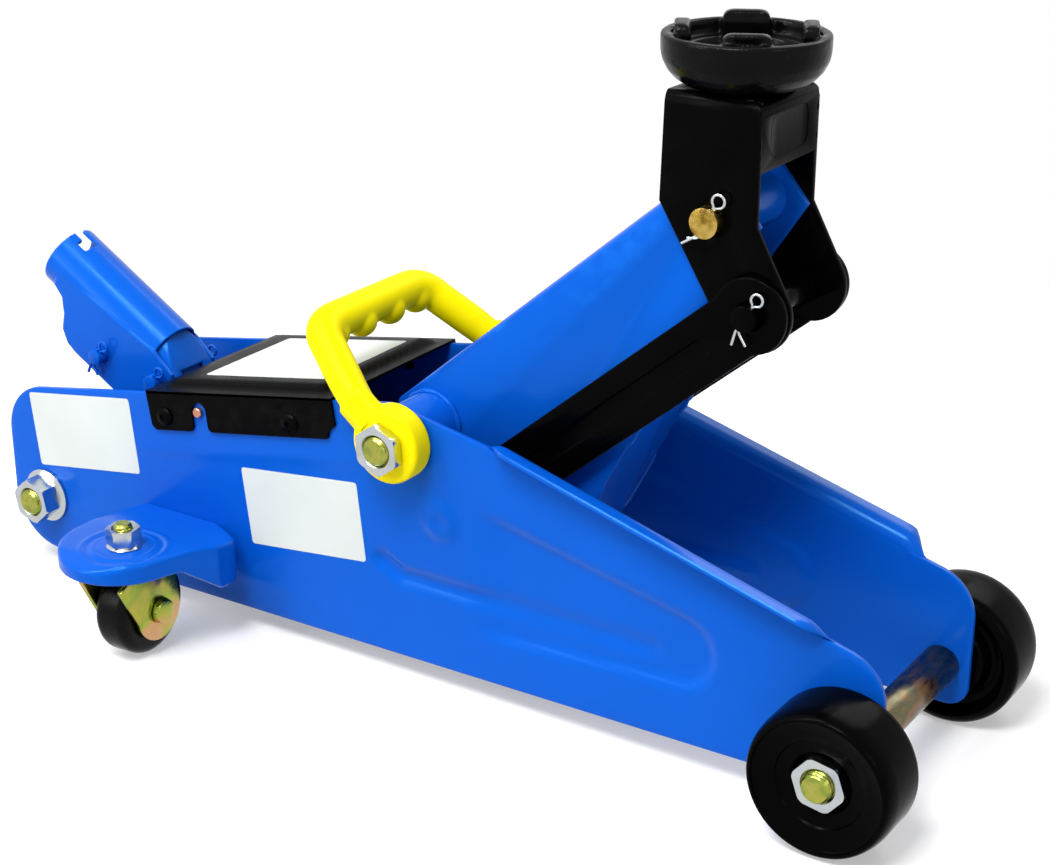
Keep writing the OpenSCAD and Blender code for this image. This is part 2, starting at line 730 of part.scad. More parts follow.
// ---- pump block and hydraulic unit ----
lug_half = 7;
lug_r = 7.2;
module pump_block() color("#26477f") difference() {
  union() {
    translate([block_rear, -block_half, block_bottom])
      cube([block_front - block_rear, 2 * block_half, block_top - block_bottom]);
    bar_y(tie, 13, -half_in + 0.05, half_in - 0.05);
    difference() {
      slab(-lug_half, lug_half) hull() {
        translate(socket_pivot) circle(r = lug_r, $fn = 48);
        translate([socket_pivot[0] - 9, block_top - 6]) square([block_front - socket_pivot[0] + 9, 5]);
      }
      translate([block_front, 0, cyl_z]) rotate([0, 90, 0]) cylinder(r = reservoir_r + 0.1, h = 20);
    }
    translate([plunger_x, 0, block_top - 1]) cylinder(r = 12, h = gland_top_z - gland_hex_h - block_top);
    translate([block_front - 0.01, 0, cyl_z]) rotate([0, 90, 0]) cylinder(r = reservoir_r - 4, h = 2);
  }
  bar_y(tie, tie_r + bolt_fit, -half_out, half_out);
  bar_y(socket_pivot, socket_pin_r + run_fit, -half_out, half_out);
  translate([plunger_x, 0, block_bottom + 10]) cylinder(r = plunger_r + run_fit, h = 60);
  translate([plunger_x, 0, gland_top_z - gland_hex_h - 7]) cylinder(r = 7.6, h = 30);
  translate([block_front - cyl_seat, 0, cyl_z]) rotate([0, 90, 0])
    cylinder(r = cyl_bore_r + cyl_wall + bolt_fit, h = 20);
  translate([block_rear - 1, 0, valve_z]) rotate([0, 90, 0]) cylinder(r = 4 + run_fit, h = valve_stem + 2);
}
valve_z = 52;
module release_valve() color("silver") translate([block_rear, 0, valve_z]) rotate([0, -90, 0]) {
  translate([0, 0, -valve_stem]) cylinder(r = 4, h = valve_stem + 8);
  difference() {
    translate([0, 0, face_gap]) cylinder(r = 6, h = 4);
    translate([0, 0, -1]) cylinder(r = 3.9, h = 7);
  }
  translate([0, 0, 6]) rotate([90, 0, 0]) translate([0, 0, -8]) cylinder(r = 1.5, h = 16);
}
cyl_rear = block_front - cyl_seat;
module cylinder_tube() color("gray") translate([cyl_rear, 0, cyl_z]) rotate([0, 90, 0]) difference() {
  cylinder(r = cyl_bore_r + cyl_wall, h = unit_front - gland_len - cyl_rear);
  translate([0, 0, cyl_floor]) cylinder(r = cyl_bore_r, h = unit_len);
}
module reservoir_tube() color("royalblue") translate([block_front, 0, cyl_z]) rotate([0, 90, 0])
  difference() {
    cylinder(r = reservoir_r, h = unit_len - gland_len);
    translate([0, 0, -1]) cylinder(r = reservoir_r - 2.5, h = unit_len);
    translate([-reservoir_r - 1, 0, unit_len / 2 - 8]) rotate([0, 90, 0]) cylinder(r = 5, h = 5);
  }
module gland_nut() color("gray") translate([unit_front - gland_len, 0, cyl_z]) rotate([0, 90, 0])
  difference() {
    union() {
      cylinder(r = reservoir_r, h = 4);
      translate([0, 0, 4 - 0.01]) cylinder(r = reservoir_r - 3.5, h = gland_len - 4, $fn = 8);
    }
    translate([0, 0, -1]) cylinder(r = ram_r + run_fit, h = gland_len + 2);
    translate([0, 0, 3]) cylinder(r = ram_r + 2.2, h = 3.4);
  }
module rod_seal() color("#402a20") translate([unit_front - gland_len + 3.2, 0, cyl_z])
  rotate([0, 90, 0]) difference() {
    cylinder(r = ram_r + 2.1, h = 3);
    translate([0, 0, -1]) cylinder(r = ram_r + 0.03, h = 5);
  }
module ram() color("lightgray") translate([piston_rear, 0, cyl_z]) rotate([0, 90, 0]) difference() {
  union() {
    cylinder(r = cyl_bore_r - run_fit, h = piston_t);
    cylinder(r = ram_r, h = ram_face - piston_rear);
    translate([0, 0, ram_face - piston_rear - ram_head_t]) cylinder(r = ram_head_r, h = ram_head_t);
  }
  difference() {
    translate([0, 0, 3.5]) cylinder(r = cyl_bore_r + 1, h = 3);
    translate([0, 0, 3]) cylinder(r = cyl_bore_r - 2.2, h = 4);
  }
}
module piston_seal() color("#402a20") translate([piston_rear + 3.6, 0, cyl_z]) rotate([0, 90, 0])
  difference() {
    cylinder(r = cyl_bore_r - 0.02, h = 2.8);
    translate([0, 0, -1]) cylinder(r = cyl_bore_r - 2.15, h = 5);
  }
module filler_plug() color("#302820")
  translate([block_front + unit_len / 2 - 8, 0, cyl_z + reservoir_r - 2.4]) {
    cylinder(r = 4.95, h = 3);
    translate([0, 0, 2.7]) cylinder(r = 7, h = 2.2);
  }

// ---- hand pump ----
module pump_gland() color("darkkhaki") translate([plunger_x, 0, gland_top_z - gland_hex_h])
  difference() {
    union() {
      cylinder(r = gland_hex_r / cos(30), h = gland_hex_h, $fn = 6);
      translate([0, 0, -6.5]) cylinder(r = 7.5, h = 6.6);
    }
    translate([0, 0, -8]) cylinder(r = plunger_r + run_fit, h = 20);
  }
module pump_plunger() color("lightgray") {
  low = block_bottom + 16;
  head_low = plunger_pin_at[1] - plunger_head_h / 2;
  translate([plunger_x, 0, low]) cylinder(r = plunger_r, h = head_low - low + 0.5);
  difference() {
    translate([plunger_x - plunger_head_len / 2, -9, head_low])
      cube([plunger_head_len, 18, plunger_head_h]);
    slab(-10, 10) translate(socket_pivot) {
      translate([pin_span[0], plunger_dz - socket_pin_r - plunger_play])
        square([pin_span[1] - pin_span[0], 2 * (socket_pin_r + plunger_play)]);
      for (x = pin_span) translate([x, plunger_dz]) circle(r = socket_pin_r + plunger_play);
    }
  }
}
module plunger_spring() color("gray") difference() {
  top = plunger_pin_at[1] - plunger_head_h / 2;
  translate([plunger_x, 0, gland_top_z + 0.1]) cylinder(r = 8.6, h = top - gland_top_z - 0.2);
  translate([plunger_x, 0, 0]) cylinder(r = 6.8, h = 200);
}

// ---- handle socket ----
// Drawn along its own bore: X up the socket, Z square to it
module at_socket() leaned(socket_pivot, 180 - socket_slope) mirror([0, 0, 1]) children();
roof_end = 8;
ring_start = mouth_reach - 19;
cheek_low = -23.8;
bore_relief = 0.7;
module cheek_outline() polygon([[-5.5, 8], [roof_end, bore_rise + 6], [mouth_reach - 8, bore_rise + 1],
  [mouth_reach - 8, bore_rise - 6.6], [mouth_reach - 14.5, -4.5], [mouth_reach - 19, -11],
  [mouth_reach - 21.5, -18.5], [mouth_reach - 27, -22.8], [mouth_reach - 33, cheek_low],
  [18, cheek_low], [4, -11], [-6.5, -7], [-9, 0]]);
module handle_socket() color("royalblue") at_socket() difference() {
  union() {
    difference() {
      translate([roof_end, 0, bore_rise]) rotate([0, 90, 0])
        cylinder(r = socket_out, h = mouth_reach - roof_end);
      translate([0, -40, bore_rise - 60]) cube([ring_start, 80, 60]);
      translate([0, 0, bore_rise]) rotate([0, 90, 0]) cylinder(r = socket_bore_r + bore_relief, h = ring_start);
    }
    both() slab(socket_in, socket_out) cheek_outline();
  }
  translate([-20, 0, bore_rise]) rotate([0, 90, 0]) cylinder(r = socket_bore_r, h = 140);
  translate([-20, -socket_in, bore_rise - 60]) cube([ring_start + 20, 2 * socket_in, 60]);
  translate([mouth_reach - 11, -2.5, 0]) cube([20, 5, 40]);
  translate([mouth_reach - 11, -5.5, 0]) cube([5.5, 8, 40]);
  bar_y([0, 0], socket_pin_r + bolt_fit, -40, 40);
  bar_y(plunger_pin_local, socket_pin_r + bolt_fit, -40, 40);
}
pin_step = plunger_pin_at - socket_pivot;
plunger_pin_local = [-pin_step[0] * cos(socket_slope) + pin_step[1] * sin(socket_slope),
  pin_step[0] * sin(socket_slope) + pin_step[1] * cos(socket_slope)];
yoke_half = socket_in - 0.1;
module socket_yoke() color("royalblue") at_socket() difference() {
  intersection() {
    slab(-yoke_half, yoke_half) polygon([[9.5, 16.2], [-7.4, 6], [-9.2, -3], [-3, -8.6],
      [5, -8.6], [14, 4], [22, 12], [22, 18]]);
    union() {
      translate([-20, 0, bore_rise]) rotate([0, 90, 0]) cylinder(r = yoke_half, h = 60);
      translate([-20, -yoke_half, bore_rise - 40]) cube([60, 2 * yoke_half, 40]);
    }
  }
  slab(-lug_half - face_gap, lug_half + face_gap) union() {
    circle(r = lug_r + face_gap);
    for (a = [-112, -130, -148, -166]) rotate(a) translate([0, -lug_r - 1.2])
      square([60, 2 * (lug_r + 1.2)]);
  }
  bar_y([0, 0], socket_pin_r + bolt_fit, -40, 40);
}
pin_end = socket_out + 5.5;
module socket_bar(p) difference() {
  bar_y(p, socket_pin_r, -pin_end, pin_end);
  both() translate([p[0], pin_end - 2.2, p[1]]) rotate([0, 40, 0]) translate([0, 0, -8])
    cylinder(r = 1.1, h = 16);
}
module socket_pin() color("royalblue") socket_bar(socket_pivot);
module plunger_pin() color("royalblue") socket_bar(plunger_pin_at);
module socket_cotters() color("royalblue") both() for (p = [socket_pivot, plunger_pin_at])
  translate([p[0], pin_end - 2.2, p[1]]) rotate([0, 40, 0]) cotter(2 * socket_pin_r + 1, 2.6);

// ---- return springs: closed coils with a hook at each end ----
spring_run = crank - anchor;
spring_len = norm(spring_run);
spring_lean = atan2(spring_run[1], spring_run[0]);
hook_wire = 0.8;
anchor_hook_r = anchor_r + hook_wire + 0.1;
crank_hook_r = crank_pin_r - 1.4 + hook_wire + 0.1;
// Eye round a bar with the straight wire that leads to the coils
module spring_hook(r, reach) {
  rotate([90, 0, 0]) rotate_extrude() translate([r, 0]) circle(r = hook_wire, $fn = 24);
  translate([0, 0, -r]) rotate([0, 90, 0]) cylinder(r = hook_wire - 0.1, h = reach, $fn = 24);
}
module return_springs() color("gray") both() translate([0, spring_y, 0])
  leaned(anchor, spring_lean) {
    difference() {
      translate([13, 0, 0]) rotate([0, 90, 0]) cylinder(r = spring_r, h = spring_len - 29);
      translate([15, 0, 0]) rotate([0, 90, 0]) cylinder(r = spring_r - 1.2, h = spring_len - 33);
    }
    spring_hook(anchor_hook_r, 14);
    translate([spring_len, 0, 0]) mirror([1, 0, 0]) spring_hook(crank_hook_r, 17);
  }

// ---- caster brackets ----
root_rear = 32;
root_front = 30.5;
// Bracket outline seen from above, about the stud, with the plate at its lower side
plate_off = half_out - caster_y;
root_mid = 11;
root_z = 45.5;
dome_shift = [-5, -4];
bracket_foot_z = 28;
skirt_z = bracket_z - skirt_drop;
module bracket_outline(inset = 0) {
  polygon(concat(
    [[-root_rear + inset, plate_off]],
    arc(dome_shift, bracket_r - inset, 180, 25, 20),
    [[root_front - 4 - inset, -14], [root_front - inset, -24]],
    arc([root_front - 12 - inset, -30], 12, 10, -40, 6),
    [[root_mid + 6 - inset, plate_off + 3], [root_mid - inset, plate_off]]));
}
// Space below the bracket's roof, which slopes to the plate and drops at the outer edge
module under_roof(drop) translate([-60, 0, 0]) rotate([90, 0, 90]) linear_extrude(120)
  polygon([[plate_off - 1, 0], [plate_off - 1, root_z - drop], [-15, bracket_z - drop],
    [14, bracket_z - drop], [28, bracket_z - 4.5 - drop], [28, 0]]);
// Side view of the front wall: its lower edge falls towards the plate
module front_wall_zone() translate([root_mid - 3, 0, 0]) rotate([90, 0, 90]) linear_extrude(60)
  polygon([[plate_off, bracket_foot_z], [-26, bracket_foot_z], [-8, skirt_z + 0.01],
    [-8, bracket_z], [plate_off, bracket_z]]);
module caster_bracket() translate([stud[0], stud[1], 0]) difference() {
  union() {
    difference() {
      intersection() {
        translate([0, 0, bracket_foot_z]) linear_extrude(40) bracket_outline();
        under_roof(0);
        union() {
          translate([-60, plate_off, skirt_z]) cube([120, 120, 40]);
          front_wall_zone();
        }
      }
      intersection() {
        linear_extrude(80) union() {
          bracket_outline(bracket_t);
          translate([-root_rear + bracket_t, plate_off - 1]) square([root_mid + root_rear - 2 * bracket_t, 2]);
        }
        under_roof(bracket_t);
      }
    }
    translate([0, 0, bracket_z - 0.5]) cylinder(r1 = 14, r2 = 11.5, h = 1);
  }
  translate([0, 0, bracket_z - bracket_t - 1]) cylinder(r = stud_r + bolt_fit, h = 10);
}
module caster_bracket_left() color("royalblue") caster_bracket();
module caster_bracket_right() color("royalblue") mirror([0, 1, 0]) caster_bracket();

nut_seat = bracket_z + 0.5;
module caster_studs() color("darkkhaki") both() translate([stud[0], stud[1], 0]) {
  translate([0, 0, fork_top - fork_t - 1.8]) cylinder(r = 8, h = 1.6);
  translate([0, 0, fork_top - fork_t - 1]) cylinder(r = stud_r, h = nut_seat + nut_h + 2 - fork_top + fork_t + 1);
}
module caster_nuts() color("silver") both() translate([stud[0], stud[1], nut_seat]) difference() {
  union() {
    cylinder(r = stud_r * 1.85, h = 1.4);
    translate([0, 0, 1.3]) rotate(10) hexagon(2 * stud_r * 1.62, nut_h - 1.3);
  }
  translate([0, 0, -1]) cylinder(r = stud_r + bolt_fit, h = nut_h + 2);
}
module caster_races() color("silver") both() translate([stud[0], stud[1], fork_top + 0.05])
  difference() {
    cylinder(r = 13, h = race_t);
    translate([0, 0, -1]) cylinder(r = stud_r + bolt_fit, h = 4);
  }

// Caster in its own frame: axle along X, stud over the origin, wheel trailing along Y
module at_caster() translate([stud[0], stud[1], 0]) rotate(-caster_turn) children();
module cheek_profile() polygon(concat(
  [[-neck_half, fork_top - fork_t], [-neck_half, skirt_z - 0.5], [-cheek_half, skirt_z - 3]],
  arc([-caster_trail, caster_r], cheek_end_r, 190, 350, 14),
  [[cheek_half, skirt_z - 3], [neck_half, skirt_z - 0.5], [neck_half, fork_top - fork_t]]));
module caster_fork() at_caster() difference() {
  union() {
    translate([0, 0, fork_top - fork_t]) cylinder(r = fork_disc_r, h = fork_t);
    for (s = [0, 1]) mirror([s, 0, 0]) translate([fork_in, 0, 0]) rotate([90, 0, 90])
      linear_extrude(fork_t) union() {
        cheek_profile();
        translate([-neck_half, fork_top - fork_t - 0.1]) square([2 * neck_half, fork_t]);
      }
  }
  translate([0, 0, fork_top - fork_t - 1]) cylinder(r = stud_r + run_fit, h = 10);
  translate([-20, -caster_trail, caster_r]) rotate([0, 90, 0]) cylinder(r = rivet_r + bolt_fit, h = 40);
}
module caster_wheel() at_caster() translate([0, -caster_trail, caster_r]) rotate([0, 90, 0])
  rotate_extrude() polygon(concat(
    [[rivet_r + run_fit, -caster_w / 2], [caster_r - 6, -caster_w / 2]],
    arc([caster_r - 4.5, -caster_w / 2 + 4.5], 4.5, -80, 0, 6),
    arc([caster_r - 4.5, caster_w / 2 - 4.5], 4.5, 0, 80, 6),
    [[caster_r - 6, caster_w / 2], [rivet_r + run_fit, caster_w / 2]]));
module caster_axle() at_caster() translate([0, -caster_trail, caster_r]) rotate([0, 90, 0]) {
  grip_half_len = fork_in + fork_t;
  translate([0, 0, -grip_half_len - 0.2]) cylinder(r = rivet_r, h = 2 * grip_half_len + 0.4);
  for (s = [0, 1]) mirror([0, 0, s]) translate([0, 0, grip_half_len + 0.1])
    cylinder(r1 = 5.8, r2 = 5, h = 3.2);
}
module caster_fork_left() color("goldenrod") caster_fork();
module caster_fork_right() color("goldenrod") mirror([0, 1, 0]) caster_fork();
module caster_wheel_left() color("black") caster_wheel();
module caster_wheel_right() color("black") mirror([0, 1, 0]) caster_wheel();
module caster_axle_left() color("darkkhaki") caster_axle();
module caster_axle_right() color("darkkhaki") mirror([0, 1, 0]) caster_axle();

side_plate_right();
side_plate_left();
front_axle();
axle_nuts();
axle_washers();
front_wheel_right();
front_wheel_left();
tie_rod();
tie_nuts();
cover_plate();
cover_screws();
spring_anchor_rod();
pivot_shaft();
pivot_nuts();
carry_handle();
lift_arm();
crank_pin();
crank_roller();
link_right();
link_left();
link_pins();
link_pin_rings();
head_bracket();
upper_pin();
upper_cotters();
lower_pin();
lower_cotters();
saddle();
saddle_clip();
pump_block();
cylinder_tube();
reservoir_tube();
gland_nut();
rod_seal();
ram();
piston_seal();
filler_plug();
pump_gland();
pump_plunger();
plunger_spring();
handle_socket();
socket_yoke();
socket_pin();
plunger_pin();
socket_cotters();
release_valve();
return_springs();
caster_bracket_right();
caster_bracket_left();
caster_studs();
caster_nuts();
caster_races();
caster_fork_right();
caster_fork_left();
caster_wheel_right();
caster_wheel_left();
caster_axle_right();
caster_axle_left();
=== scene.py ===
import bpy, bmesh, json
from math import acos, atan2, ceil, cos, exp, hypot, pi, radians, sin, sqrt, tan
from mathutils import Vector, Matrix, noise
from mathutils.geometry import delaunay_2d_cdt


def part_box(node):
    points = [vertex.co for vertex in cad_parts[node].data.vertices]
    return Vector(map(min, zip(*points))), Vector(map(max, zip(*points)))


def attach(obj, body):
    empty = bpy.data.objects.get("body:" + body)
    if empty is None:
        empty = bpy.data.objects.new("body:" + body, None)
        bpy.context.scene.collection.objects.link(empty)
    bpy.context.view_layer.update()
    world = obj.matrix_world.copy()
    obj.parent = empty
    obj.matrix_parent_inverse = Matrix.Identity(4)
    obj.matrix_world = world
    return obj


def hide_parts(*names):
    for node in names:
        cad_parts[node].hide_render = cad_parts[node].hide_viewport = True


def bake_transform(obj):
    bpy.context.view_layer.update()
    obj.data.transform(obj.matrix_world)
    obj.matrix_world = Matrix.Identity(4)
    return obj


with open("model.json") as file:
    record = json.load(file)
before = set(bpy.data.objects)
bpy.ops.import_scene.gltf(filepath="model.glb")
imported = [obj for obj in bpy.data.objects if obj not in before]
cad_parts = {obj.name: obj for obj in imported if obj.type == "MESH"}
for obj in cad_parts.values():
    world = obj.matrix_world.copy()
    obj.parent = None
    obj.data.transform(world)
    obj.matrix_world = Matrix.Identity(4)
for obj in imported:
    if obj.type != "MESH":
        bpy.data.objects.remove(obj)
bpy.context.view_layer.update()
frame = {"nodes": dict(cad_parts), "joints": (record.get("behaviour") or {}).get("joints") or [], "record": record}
NODES = frame["nodes"]
JOINTS = {j["name"]: j for j in frame["joints"]}
SLOT_OF = {part["node"]: part["material_slot"] for part in frame["record"]["subparts"]}
scene = bpy.context.scene
MM = 0.001
SIDES = ((-1, "right"), (1, "left"))


def joint_at(name):
    """A joint's place in millimetres."""
    return [v / MM for v in JOINTS[name]["pos_m"]]


def joint_xz(name):
    """The X and Z of a joint whose axis runs across the jack."""
    x, _, z = joint_at(name)
    return x, z


# ---------- places, in millimetres, all from the frame ----------
AXLE_X, _, AXLE_Z = joint_at("front_wheel_left_spin")
PIVOT, HEAD_PIN, LINK_PIVOT = joint_xz("arm_lift"), joint_xz("head_level"), joint_xz("link_swing")
SOCKET, CRANK = joint_xz("socket_pump"), joint_xz("crank_roller_spin")
STUD = joint_at("caster_left_swivel")


def box_mm(node):
    low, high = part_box(node)
    return [v / MM for v in low], [v / MM for v in high]


def middle(node):
    low, high = box_mm(node)
    return [(a + b) / 2 for a, b in zip(low, high)]


def heights(node):
    """The lowest and highest Z of a node."""
    return [corner[2] for corner in box_mm(node)]


def middle_xz(node):
    x, _, z = middle(node)
    return x, z


def behind(d):
    """The X of a place so many millimetres behind the front axle."""
    return AXLE_X - d


TIE_NUT_H = 11.0
HALF_OUT = box_mm("tie_nuts")[1][1] - TIE_NUT_H
HALF_IN = HALF_OUT - 2.5
EDGE_DEG, LIP_DEG = 9.9, 15.6
EDGE_SLOPE, LIP_SLOPE = radians(EDGE_DEG), tan(radians(LIP_DEG))
TIE, ANCHOR = middle_xz("tie_rod"), middle_xz("spring_anchor_rod")


# ---------- 2D and mesh helpers, all in millimetres ----------
def arc(c, r, a0, a1, n=10):
    return [(c[0] + r * cos(radians(a0 + (a1 - a0) * i / n)),
             c[1] + r * sin(radians(a0 + (a1 - a0) * i / n))) for i in range(n + 1)]


def step(t):
    t = min(max(t, 0.0), 1.0)
    return t * t * (3 - 2 * t)


def fillet(points, radii, n=4):
    """Rounds the corners of a closed outline. radii is one number or one per corner."""
    out, count = [], len(points)
    radii = radii if isinstance(radii, (list, tuple)) else [radii] * count
    for i, (p, r) in enumerate(zip(points, radii)):
        a, b, c = Vector(points[i - 1]), Vector(p), Vector(points[(i + 1) % count])
        u, v = (a - b), (c - b)
        if r <= 0 or u.length < 1e-6 or v.length < 1e-6:
            out.append(tuple(p))
            continue
        lu, lv = u.length, v.length
        u, v = u / lu, v / lv
        half = acos(max(-1.0, min(1.0, u.dot(v)))) / 2
        if half > pi / 2 - 0.02:
            out.append(tuple(p))
            continue
        reach = min(r / tan(half), 0.49 * lu, 0.49 * lv)
        start, end = b + u * reach, b + v * reach
        for k in range(n + 1):
            t = k / n
            q = start * (1 - t) ** 2 + b * 2 * t * (1 - t) + end * t * t
            out.append((q.x, q.y))
    return out


def rectangle(a0, a1, b0, b1):
    return [(a0, b0), (a1, b0), (a1, b1), (a0, b1)]


def raised(profile, base):
    """A profile of (radius, height) with its heights counted from a base."""
    return [(r, base + h) for r, h in profile]


def flat(a, b):
    """The relief of a sheet that has none."""
    return 0.0


def dense(points, gap):
    """A closed outline with extra points, so that none lie further apart than the gap."""
    out = []
    for i, p in enumerate(points):
        q = points[(i + 1) % len(points)]
        n = max(1, ceil(hypot(q[0] - p[0], q[1] - p[1]) / gap))
        out += [(p[0] + (q[0] - p[0]) * k / n, p[1] + (q[1] - p[1]) * k / n) for k in range(n)]
    return out


def line_distance(p, a, b):
    """Distance from a point to a stretch of line."""
    dx, dy = b[0] - a[0], b[1] - a[1]
    t = max(0.0, min(1.0, ((p[0] - a[0]) * dx + (p[1] - a[1]) * dy) / (dx * dx + dy * dy or 1)))
    return hypot(p[0] - a[0] - t * dx, p[1] - a[1] - t * dy)


def edge_distance(p, loop):
    """Distance from a point to an outline, positive inside it."""
    best, inside = 1e9, False
    x, y = p
    for i, (x1, y1) in enumerate(loop):
        x2, y2 = loop[(i + 1) % len(loop)]
        best = min(best, line_distance(p, (x1, y1), (x2, y2)))
        if (y1 > y) != (y2 > y) and x < x1 + (y - y1) / (y2 - y1) * (x2 - x1):
            inside = not inside
    return best if inside else -best


def new_mesh(points, faces):
    """A mesh of points and faces. Faces that have shrunk to a line are left out."""
    bm = bmesh.new()
    verts = [bm.verts.new(p) for p in points]
    for f in faces:
        if len(set(f)) > 2:
            try:
                bm.faces.new([verts[i] for i in f])
            except ValueError:
                pass
    return bm


def row_faces(rows, m, closed=False):
    """Faces of a tube from rows of m points: its last row meets the first, or both ends are capped."""
    total, faces = rows * m, []
    for i in range(rows if closed else rows - 1):
        for k in range(m):
            a, b = i * m + k, i * m + (k + 1) % m
            faces.append((a, b, (b + m) % total, (a + m) % total))
    if not closed:
        faces += [tuple(range(m)), tuple(range(total - 1, total - m - 1, -1))]
    return faces


def turned(r, angle, h, at, axis):
    """A point at a radius and an angle round an axis through a place, and at a height along it."""
    c, s = r * cos(angle), r * sin(angle)
    local = {"X": (h, c, s), "Y": (c, h, s), "Z": (c, s, h)}[axis]
    return [p + q for p, q in zip(local, at)]


def tidy(bm, merge=0.002):
    bmesh.ops.remove_doubles(bm, verts=bm.verts, dist=merge)
    bmesh.ops.dissolve_degenerate(bm, edges=bm.edges, dist=merge)
    bmesh.ops.recalc_face_normals(bm, faces=bm.faces)
    return bm


def sheet(outline, height, low, high, holes=(), gap=0.0, place=None):
    """A sheet between height + low and height + high over an outline; place turns (a, b, h) into a point."""
    place = place or (lambda a, b, h: (a, h, b))
    loops = [list(outline)] + [list(h) for h in holes]
    if gap:
        loops = [dense(loop, gap) for loop in loops]
    points, edges = [], []
    for loop in loops:
        first = len(points)
        points += loop
        edges += [(first + i, first + (i + 1) % len(loop)) for i in range(len(loop))]
    if gap:
        xs, ys = [p[0] for p in outline], [p[1] for p in outline]
        y, row = min(ys), 0
        while y < max(ys):
            x = min(xs) + (0.5 * gap if row % 2 else 0)
            while x < max(xs):
                if edge_distance((x, y), loops[0]) > 0.6 * gap and all(
                        edge_distance((x, y), h) < -0.6 * gap for h in loops[1:]):
                    points.append((x, y))
                x += gap
            y, row = y + gap * 0.866, row + 1
    found = delaunay_2d_cdt([Vector(p) for p in points], edges, [], 2, 1e-5)
    spots, tris = found[0], found[2]
    bm = bmesh.new()
    top = [bm.verts.new(place(p.x, p.y, height(p.x, p.y) + high)) for p in spots]
    bottom = [bm.verts.new(place(p.x, p.y, height(p.x, p.y) + low)) for p in spots]
    used = {}
    for t in tris:
        bm.faces.new([top[i] for i in t])
        bm.faces.new([bottom[i] for i in reversed(t)])
        for i in range(len(t)):
            key = (t[i], t[(i + 1) % len(t)])
            if (key[1], key[0]) in used:
                del used[(key[1], key[0])]
            else:
                used[key] = True
    for a, b in used:
        bm.faces.new([top[b], top[a], bottom[a], bottom[b]])
    return tidy(bm)


def revolve(profile, at, axis="Y", n=96, side=1):
    """Turns a closed outline of (radius, height) round an axis through a point."""
    points = [turned(r, 2 * pi * k / n, h * side, at, axis) for k in range(n) for r, h in profile]
    return tidy(new_mesh(points, row_faces(n, len(profile), True)))


def sweep(path, radius, n=12, closed=False, up=Vector((0.3, 0.9, 0.2))):
    """A bar along points. Its radius is a number, two of them, or a function of the share of the path."""
    path = [Vector(p) for p in path]
    count = len(path)
    tangents = []
    for i in range(count):
        a = path[i - 1] if i or closed else path[i]
        b = path[(i + 1) % count] if i < count - 1 or closed else path[i]
        tangents.append((b - a).normalized())
    normal = (up - tangents[0] * up.dot(tangents[0])).normalized()
    points = []
    for i, (p, t) in enumerate(zip(path, tangents)):
        normal = (normal - t * normal.dot(t)).normalized()
        other = t.cross(normal)
        r = radius(i / max(1, count - 1)) if callable(radius) else radius
        rn, ro = r if isinstance(r, tuple) else (r, r)
        for k in range(n):
            a = 2 * pi * k / n
            points.append(p + normal * (rn * cos(a)) + other * (ro * sin(a)))
    bm = new_mesh(points, row_faces(count, n, closed))
    bmesh.ops.recalc_face_normals(bm, faces=bm.faces)
    return bm


def ball(at, r, n=24):
    bm = bmesh.new()
    bmesh.ops.create_uvsphere(bm, u_segments=n, v_segments=n // 2, radius=r,
                              matrix=Matrix.Translation(at))
    return bm


def join(*parts):
    """All parts in one mesh, the parts freed."""
    out = bmesh.new()
    for part in parts:
        mesh = bpy.data.meshes.new("join")
        part.to_mesh(mesh)
        part.free()
        out.from_mesh(mesh)
        bpy.data.meshes.remove(mesh)
    return out


def mirrored(bm):
    out = bm.copy()
    out.transform(Matrix.Diagonal((1, -1, 1, 1)))
    bmesh.ops.reverse_faces(out, faces=out.faces)
    return out


def both(bm):
    return join(mirrored(bm), bm)


def link_object(name, data):
    obj = bpy.data.objects.new(name, data)
    scene.collection.objects.link(obj)
    return obj


def mesh_object(name, bm):
    """A new object with the mesh, which is freed."""
    mesh = bpy.data.meshes.new(name)
    bm.to_mesh(mesh)
    bm.free()
    return link_object(name, mesh)


def modified(bm, *modifiers):
    """The mesh after modifiers, given as (type, {setting: value})."""
    obj, extra = mesh_object("work", bm), []
    for kind, settings in modifiers:
        mod = obj.modifiers.new(kind, kind)
        for key, value in settings.items():
            if isinstance(value, bmesh.types.BMesh):
                value = mesh_object("cutter", value)
                extra.append(value)
            setattr(mod, key, value)
    bpy.context.view_layer.update()
    result = bpy.data.meshes.new_from_object(
        obj.evaluated_get(bpy.context.evaluated_depsgraph_get()))
    out = bmesh.new()
    out.from_mesh(result)
    bpy.data.meshes.remove(result)
    for o in extra + [obj]:
        data = o.data
        bpy.data.objects.remove(o)
        bpy.data.meshes.remove(data)
    return out


def cut(bm, cutter):
    """The mesh with the cutter's shape taken out, and its slivers closed."""
    out = modified(bm, ("BOOLEAN", dict(object=cutter, operation="DIFFERENCE", solver="EXACT")))
    bmesh.ops.remove_doubles(out, verts=out.verts, dist=0.01)
    bmesh.ops.dissolve_degenerate(out, edges=out.edges, dist=0.005)
    return out


def soften(bm, voxel, turns):
    """One smooth moulded or pressed skin round everything in the mesh."""
    return modified(bm, ("REMESH", dict(mode="VOXEL", voxel_size=voxel)),
                    ("SMOOTH", dict(factor=0.5, iterations=turns)))


def round_edges(bm, radius, angle=38, pick=None, segments=2):
    """Rounds the edges that turn by more than an angle, all of them or those that pick(a, b) takes."""
    edges = [e for e in bm.edges if len(e.link_faces) == 2
             and e.calc_face_angle(0) > radians(angle)
             and (pick is None or pick(*[v.co for v in e.verts]))]
    if edges:
        bmesh.ops.bevel(bm, geom=edges, offset=radius, offset_type="OFFSET", segments=segments,
                        profile=0.5, affect="EDGES", clamp_overlap=False)
    return bm


